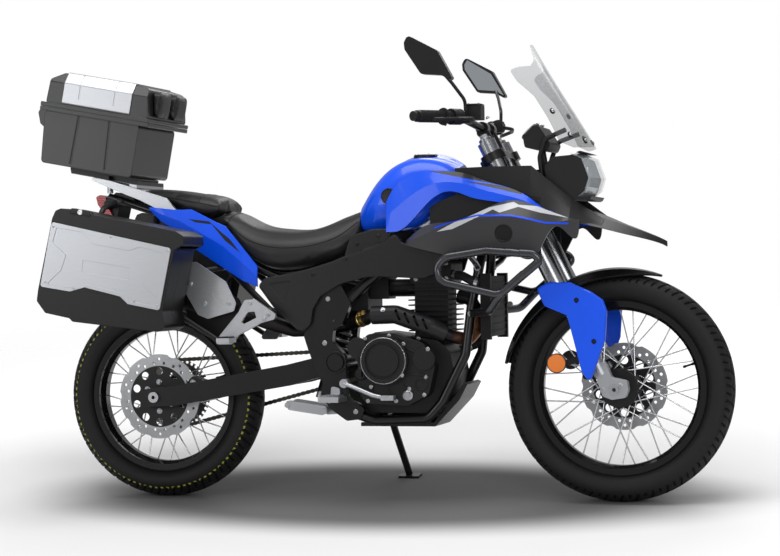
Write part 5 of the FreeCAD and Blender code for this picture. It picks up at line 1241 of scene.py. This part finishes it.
screen_spots = ((112, 1062), (126, 1130), (60, 1046))
held = np.array([through_screen(side * y, z) for side in BOTH_SIDES for y, z in screen_spots])
domed = [(0, 1.8), (6, 1.8), (6, 3.2), (4.6, 4.8), (2.6, 5.4), (2.4, 4.4), (0, 4.4)]
washer = [(0, -2), (9, -2), (9, 1.2), (8, 2), (0, 2)]
fitting("screen_screws", "frame", zinc, "spoke_steel", domed, held[:, 0], held[:, 1], 24, 40)
fitting("screen_washers", "frame", rubber, "rubber", washer, held[:, 0], held[:, 1], 28, 40)

dials = Finish("dial_faces", linear(14, 15, 17), 0.25, coat=1.0, round_edge=0)
x, y, z = dials.machine()
up_dial = (x - DIAL_PLACE[0]) * DIAL_WAY[2] + (z - DIAL_PLACE[2]) * -DIAL_WAY[0]
across_dial = y.size() - DIAL_HALF_GAP
reach = (up_dial * up_dial + across_dial * across_dial).math("SQRT")
angle = across_dial.math("ARCTAN2", up_dial)
ticks = ((angle * (DIAL_TICKS / (2 * math.pi))).math("FRACT") - 0.5).size().step(0.34, 0.4)
ring = reach.step(22, 22.6) * (1 - reach.step(26, 26.6))
dials.feed("Base Color", dials.mix(ticks * ring, dials.colour, linear(226, 228, 230)))
dial_places = DIAL_PLACE + np.array([(0, DIAL_HALF_GAP, 0), (0, -DIAL_HALF_GAP, 0)])
face_profile = [(0, 0), (DIAL_R, 0), (DIAL_R, 1.5), (0, 1.5)]
rim = [(DIAL_R, -1), (33, -1), (33, 4), (31, 6), (DIAL_R, 4.5), (DIAL_R, -1)]
hub = [(0, 0), (4, 0), (4, 3), (0, 3.4)]
fitting("dial_faces", "frame", dials, "black_plastic", face_profile, dial_places, DIAL_WAY, 48)
fitting("dial_rims", "frame", chrome, "spoke_steel", rim, dial_places, DIAL_WAY, 48, 40)
fitting("dial_pointers", "frame", red_key, "lamp_red", hub, dial_places + DIAL_WAY * 1.5, DIAL_WAY, 16)

# Seats
# Foam saddle, passenger's seat and the backrest's pads on the top box, in grained black vinyl that is
# stretched over the foam and sewn with a welt along each shoulder of the seats. Cloth pressure blows the foam
# out.

FOAM_FRAMES = 20
FOAM_PRESSURE = 4.0

vinyl = Finish("seat_vinyl", linear(32, 32, 33), 0.42, round_edge=0)
vinyl.vary(vinyl.noise(16), 0.12)
vinyl.bump(vinyl.cells(1500) * 0.7 + vinyl.noise(300) * 0.3, 0.00016, 0.7)
welt_vinyl = coated("seat_welt", linear(22, 22, 23), 0.5, grain=(2600, 0.0001, 0.6), round_edge=0)


def stuffed(node, name, voxel, inset, cap):
    """Padded copy of a soft solid.

    Its skin is drawn in along its normals, remeshed into even quads, and blown out by cloth pressure. Each
    point then keeps at most a capped part of its movement.
    """
    mesh = nodes[node].data.copy()
    mesh.name = name
    merge_doubles(mesh, 0.00002)
    count = len(mesh.vertices)
    spots = np.zeros(count * 3)
    normals = np.zeros(count * 3)
    mesh.vertices.foreach_get("co", spots)
    mesh.vertex_normals.foreach_get("vector", normals)
    mesh.vertices.foreach_set("co", spots - normals * inset)
    body = "top_box_lid" if node == "backrest_pads" else "frame"
    piece = dressed(mesh, name, body, vinyl, 180, 0)
    remesh = piece.modifiers.new("even", "REMESH")
    remesh.mode = "VOXEL"
    remesh.voxel_size = voxel
    settle(piece)
    start = points_of(piece.data)
    cloth = piece.modifiers.new("foam", "CLOTH")
    cloth.settings.use_pressure = True
    cloth.settings.uniform_pressure_force = FOAM_PRESSURE
    cloth.settings.effector_weights.gravity = 0.0
    scene = bpy.context.scene
    for number in range(1, FOAM_FRAMES + 1):
        scene.frame_set(number)
    settle(piece)
    scene.frame_set(1)
    moved = points_of(piece.data) - start
    length = np.linalg.norm(moved, axis=1, keepdims=True)
    moved *= np.minimum(1, cap / np.maximum(length, 1e-9))
    piece.data.vertices.foreach_set("co", (start + moved).ravel())
    piece.data.update()
    smoothing = piece.modifiers.new("even_skin", "SMOOTH")
    smoothing.iterations = 6
    settle(piece)
    piece.data.polygons.foreach_set("use_smooth", [True] * len(piece.data.polygons))
    finer = piece.modifiers.new("finer", "SUBSURF")
    finer.levels = 1
    finer.render_levels = 1
    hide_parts(node)
    return piece


def points_of(mesh):
    """The mesh's points as rows."""
    flat = np.zeros(len(mesh.vertices) * 3)
    mesh.vertices.foreach_get("co", flat)
    return flat.reshape(-1, 3)


def settle(piece):
    """Applies a piece's modifiers to its mesh."""
    solved = bpy.data.meshes.new_from_object(piece.evaluated_get(bpy.context.evaluated_depsgraph_get()))
    piece.modifiers.clear()
    piece.data = solved


def smooth_rows(points, count):
    """Catmull-Rom curve through the rows of an array of points, sampled at count places."""
    n = len(points)
    t = np.linspace(0, n - 1, count)
    i = np.minimum(t.astype(int), n - 2)
    f = (t - i)[:, None]
    wide = np.concatenate([2 * points[:1] - points[1:2], points, 2 * points[-1:] - points[-2:-1]])
    before, start, end, after = (wide[i + k] for k in (0, 1, 2, 3))
    slope_0 = (end - before) / 2
    slope_1 = (after - start) / 2
    return (start * (2 * f ** 3 - 3 * f ** 2 + 1) + slope_0 * (f ** 3 - 2 * f ** 2 + f)
            + end * (3 * f ** 2 - 2 * f ** 3) + slope_1 * (f ** 3 - f ** 2))


def welt(piece, points, name, r=1.7):
    """Sewn cord that follows a line of points, each dropped onto the padded skin."""
    path = smooth_rows(np.asarray(points, float), 110)
    evaluated = piece.evaluated_get(bpy.context.evaluated_depsgraph_get())
    dropped = []
    for place in leaned(path):
        dropped.append(upright(evaluated.closest_point_on_mesh(Vector(place))[1]))
    cord = Shape()
    pipe(cord, np.array(dropped), r, 8)
    cord.made(name, "frame", welt_vinyl, "seat_vinyl", 60)


saddle = stuffed("rider_seat", "saddle_cover", 0.005, 0.005, 0.006)
rear_seat = stuffed("pillion_seat", "passenger_cover", 0.005, 0.004, 0.006)
stuffed("backrest_pads", "backrest_cover", 0.004, 0.003, 0.005)
saddle_line = [(238, 117, 838), (258, 124, 818), (316, 133, 778), (400, 141, 756), (490, 130, 758),
               (570, 103, 782), (632, 64, 828)]
rear_line = [(-74, 62, 920), (-17, 88, 920), (42, 96, 915), (113, 113, 902), (180, 117, 888), (214, 110, 880)]
for side, word in zip(BOTH_SIDES, ("right", "left")):
    welt(saddle, np.array(saddle_line) * (1, side, 1), word + "_saddle_welt")
    welt(rear_seat, np.array(rear_line) * (1, side, 1), word + "_passenger_welt")
cross = np.linspace(-1, 1, 9)
saddle_seam = np.column_stack([250 - 8 * cross ** 2, 120 * cross, 866 - 36 * cross ** 4])
rear_seam = np.column_stack([150 + 0 * cross, 114 * cross, 918 - 26 * cross ** 4])
welt(saddle, saddle_seam, "saddle_cross_welt")
welt(rear_seat, rear_seam, "passenger_cross_welt")

# Tail
# Black mudguard tray with a bare plate on a bracket, amber indicators on rubber stalks, and a red lamp whose
# lens is ribbed inside.

wear(grained, "tail_tray")
tail_red = Finish("tail_red", linear(180, 0, 20), 0.14, coat=0.3)
x, y, z = tail_red.machine()
# The rib mask sets the lens relief, and also a painted highlight and shade: the red is lighter on each rib's
# crest and darker between them.
ribs = (z * 0.9).math("SINE") * 0.5 + 0.5
tail_red.feed("Base Color", tail_red.mix(ribs, linear(120, 0, 10), linear(205, 4, 26)))
tail_red.bump(ribs, 0.0006, 0.6)
wear(tail_red, "tail_lamp")
dome = np.linspace(0, math.pi / 2, 10)
dome_rows = np.column_stack([21.2 * np.cos(dome), 4 + 17.2 * np.sin(dome)])
dome_rows = np.concatenate([[(0, 4)], dome_rows])
fitting("indicator_lenses", "frame", amber, "lamp_red", dome_rows, (-166, 160, 800), (-1, 0, 0), 36, 60, True)

plate_white = coated("plate_white", linear(226, 226, 222), 0.4, (20, 0.03), coat=0.3)
plate = Shape()
plate_rows = [(-242.5, 612), (-214.5, 758), (-212, 758), (-240, 612)]
plate.add(*bars([plate_rows], -84, 84))
plate.made("blank_plate", "frame", plate_white, "case_silver", 20)

# Racks and luggage
# Cast aluminium rack with black tube hoops; black moulded cases with a fine grain, each lid faced with a
# brushed aluminium plate pressed with a field and left bare where a label goes; and a top box with a brushed
# band.

CASE_X = -254.0
CASE_Z = 603.0
CASE_TURN = math.radians(12)
CASE_FACE_Y = 403.0
BOX_X = -343.0
BOX_Z = 1025.0
BOX_TURN = math.radians(10.8)

racks = Finish("racks", linear(180, 182, 186), 0.36, 0.9)
x, y, z = racks.machine()
plate_above = (z + x * math.tan(BOX_TURN)).step(938, 942)
dark = y.size().step(126, 128).either(plate_above)
racks.feed("Base Color", racks.mix(dark, linear(176, 178, 182), linear(26, 26, 28)))
racks.feed("Metallic", 0.9 - dark * 0.8)
racks.bump(racks.noise(700), 0.00008, 0.6)
wear(racks, "luggage_racks")

case_black = coated("case_black", linear(18, 18, 19), 0.38, (10, 0.12), cells=(900, 0.00012, 0.6),
                    round_edge=0.005)
wear(case_black, "right_case_shell", "left_case_shell", "right_case_lid", "left_case_lid")
box_black = coated("box_black", linear(27, 28, 29), 0.3, (10, 0.12), (1300, 0.00004, 0.6), coat=0.15,
                   round_edge=0.005)
wear(box_black, "box_shell", "box_lid")

aluminium = Finish("brushed_aluminium", linear(168, 170, 174), 0.36, 0.85)
strokes = aluminium.noise(26, 4, (1, 1, 60))
aluminium.vary(strokes, 0.12)
aluminium.bump(strokes, 0.00003, 0.4)
wear(aluminium, "right_case_face", "left_case_face", "box_panel")


def pitched(points, x0, z0, turn):
    """Machine places of points in a case's own frame, which is turned about y and stands at x0 and z0."""
    points = np.asarray(points, float)
    x = x0 + points[..., 0] * math.cos(turn) + points[..., 2] * math.sin(turn)
    z = z0 - points[..., 0] * math.sin(turn) + points[..., 2] * math.cos(turn)
    return np.stack([x, points[..., 1], z], -1)


def case_fittings(side, word):
    """Rivets round a case's face, and the round lock of its latch."""
    way = (0, side, 0)
    spots = [(20, 64), (14, 228), (372, 66), (376, 226), (196, 232), (110, 64), (300, 64)]
    places = pitched([(x, side * (CASE_FACE_Y + 0.3), z) for x, z in spots], CASE_X, CASE_Z, CASE_TURN)
    rivet = [(0, -0.5), (3.6, -0.5), (3.4, 0.6), (2.2, 1.4), (0, 1.7)]
    fitting(word + "_case_rivets", word + "_lid", zinc, "spoke_steel", rivet, places, way, 16, 50)
    lock = [(0, -3), (8, -3), (8, 1.5), (7, 2.5), (4.5, 2.5), (4.2, 1.6), (0, 1.6)]
    place = pitched((88, side * CASE_FACE_Y, 284), CASE_X, CASE_Z, CASE_TURN)
    fitting(word + "_case_lock", word + "_lid", zinc, "spoke_steel", lock, place, way, 24, 40)


case_fittings(-1, "right")
case_fittings(1, "left")
barrel = [(0, -6), (11, -6), (11, 1.5), (10, 2.5), (6, 2.5), (5.6, 1.4), (0, 1.4)]
lock_place = pitched((-76, 0, 148), BOX_X, BOX_Z, BOX_TURN)
lock_way = pitched((-67, 0, 14), 0, 0, BOX_TURN)
fitting("box_lock", "top_box_lid", zinc, "spoke_steel", barrel, lock_place, lock_way, 28, 40)

# Floor, light and camera
# A pale floor that fades into a white surround, with a painted shadow below it: a soft dark grey oval in the
# floor's colour under the machine. The camera stands level with the tank, a little ahead of the machine's right
# side, where the photograph was taken.

FLOOR_REACH = 12.0
FADE_FROM = 1.9
FADE_TO = 4.2
SHADOW_LONG = 1.25
SHADOW_WIDE = 0.52
FLOOR_GREY = (0.86, 0.86, 0.86)

floor_middle = leaned((WHEELBASE / 2 - 25, 0, REAR_TYRE_R))
corner = np.array([(-1, -1), (1, -1), (1, 1), (-1, 1)]) * FLOOR_REACH
floor_mesh = bpy.data.meshes.new("floor")
floor_mesh.from_pydata(np.column_stack([corner, np.zeros(4)]).tolist(), [], [(0, 1, 2, 3)])
floor = bpy.data.objects.new("floor", floor_mesh)
bpy.context.scene.collection.objects.link(floor)
floor_finish = Finish("floor_white", FLOOR_GREY, 0.9, round_edge=0)
floor_finish.feed("Specular IOR Level", 0.0)
place = floor_finish.place()
x, y = (floor_finish.node("ShaderNodeSeparateXYZ", {}, {0: place}, i) for i in range(2))
dx = x - float(floor_middle[0])
dy = y - float(floor_middle[1])
away = (dx * dx + dy * dy).math("SQRT")
floor_finish.feed("Alpha", 1 - away.step(FADE_FROM, FADE_TO))
# Painted shadow: inside an oval below the machine the floor's colour darkens to dark grey.
shadow_oval = ((dx / SHADOW_LONG) * (dx / SHADOW_LONG) + (dy / SHADOW_WIDE) * (dy / SHADOW_WIDE)).math("SQRT")
painted_shadow = 1 - shadow_oval.step(0.55, 1.0)
floor_finish.feed("Base Color", floor_finish.mix(painted_shadow, FLOOR_GREY, (0.17, 0.17, 0.17)))
seen = floor_finish.node("ShaderNodeLightPath", {}, {})
lift = (seen * away.step(0.9, 2.2)).math("MULTIPLY", 1 - painted_shadow)
floor_finish.feed("Emission Color", floor_finish.mix(lift, (0.0, 0.0, 0.0), (0.30, 0.30, 0.30)))
floor_finish.feed("Emission Strength", 1.0)
floor_mesh.materials.append(floor_finish.material)

world = bpy.data.worlds.new("studio")
bpy.context.scene.world = world
world.use_nodes = True
background = world.node_tree.nodes["Background"]
ray = world.node_tree.nodes.new("ShaderNodeLightPath")
seen_directly = world.node_tree.nodes.new("ShaderNodeMath")
seen_directly.operation = "MAXIMUM"
world.node_tree.links.new(ray.outputs["Is Camera Ray"], seen_directly.inputs[0])
world.node_tree.links.new(ray.outputs["Is Transmission Ray"], seen_directly.inputs[1])
strength = world.node_tree.nodes.new("ShaderNodeMapRange")
strength.inputs["To Min"].default_value = 0.45
strength.inputs["To Max"].default_value = 1.0
world.node_tree.links.new(seen_directly.outputs[0], strength.inputs["Value"])
background.inputs["Color"].default_value = (1, 1, 1, 1)
world.node_tree.links.new(strength.outputs[0], background.inputs["Strength"])


def softbox(name, place, towards, width, height, power):
    """An area lamp at a place in the row's frame, turned to face a point."""
    lamp = bpy.data.lights.new(name, "AREA")
    lamp.shape = "RECTANGLE"
    lamp.size = width
    lamp.size_y = height
    lamp.energy = power
    made = bpy.data.objects.new(name, lamp)
    made.location = place
    made.rotation_euler = (Vector(towards) - Vector(place)).to_track_quat("-Z", "Y").to_euler()
    bpy.context.scene.collection.objects.link(made)


softbox("top_softbox", (0.1, -0.6, 3.6), (0, 0, 0.5), 3.6, 1.6, 80)
softbox("front_softbox", (2.6, -4.2, 2.2), (0, 0, 0.6), 2.2, 1.6, 55)
softbox("rear_softbox", (-3.0, -3.8, 2.0), (0, 0, 0.6), 1.8, 1.8, 38)
softbox("far_softbox", (0.5, 3.6, 2.8), (0, 0, 0.6), 3.0, 1.5, 45)

AZIMUTH = math.radians(15.13)
ELEVATION = math.radians(0.8)
ROLL = math.radians(-0.85)
TARGET = np.array([720.0, 0.0, 600.0])
DISTANCE = 6500.0
FOCAL_PIXELS = 2180.0
PHOTO_WIDTH = 780.0
SHIFT_RIGHT = 3.4
SHIFT_DOWN = 19.3

level_back = np.array([math.sin(AZIMUTH), -math.cos(AZIMUTH), 0])
back = level_back * math.cos(ELEVATION) + (0, 0, math.sin(ELEVATION))
right = np.array([math.cos(AZIMUTH), math.sin(AZIMUTH), 0])
above = np.cross(back, right)
across = right * math.cos(ROLL) + above * math.sin(ROLL)
upward = above * math.cos(ROLL) - right * math.sin(ROLL)

camera_data = bpy.data.cameras.new("camera")
camera_data.sensor_width = 36
camera_data.lens = camera_data.sensor_width * FOCAL_PIXELS / PHOTO_WIDTH
camera_data.shift_x = -SHIFT_RIGHT / PHOTO_WIDTH
camera_data.shift_y = SHIFT_DOWN / PHOTO_WIDTH
camera = bpy.data.objects.new("camera", camera_data)
facing = lean_turn @ np.stack([across, upward, back], axis=1)
camera_place = Matrix.Translation(leaned(TARGET + back * DISTANCE))
camera.matrix_world = camera_place @ Matrix(facing.tolist()).to_4x4()
bpy.context.scene.collection.objects.link(camera)
bpy.context.scene.camera = camera
bpy.context.scene.view_settings.view_transform = "Standard"
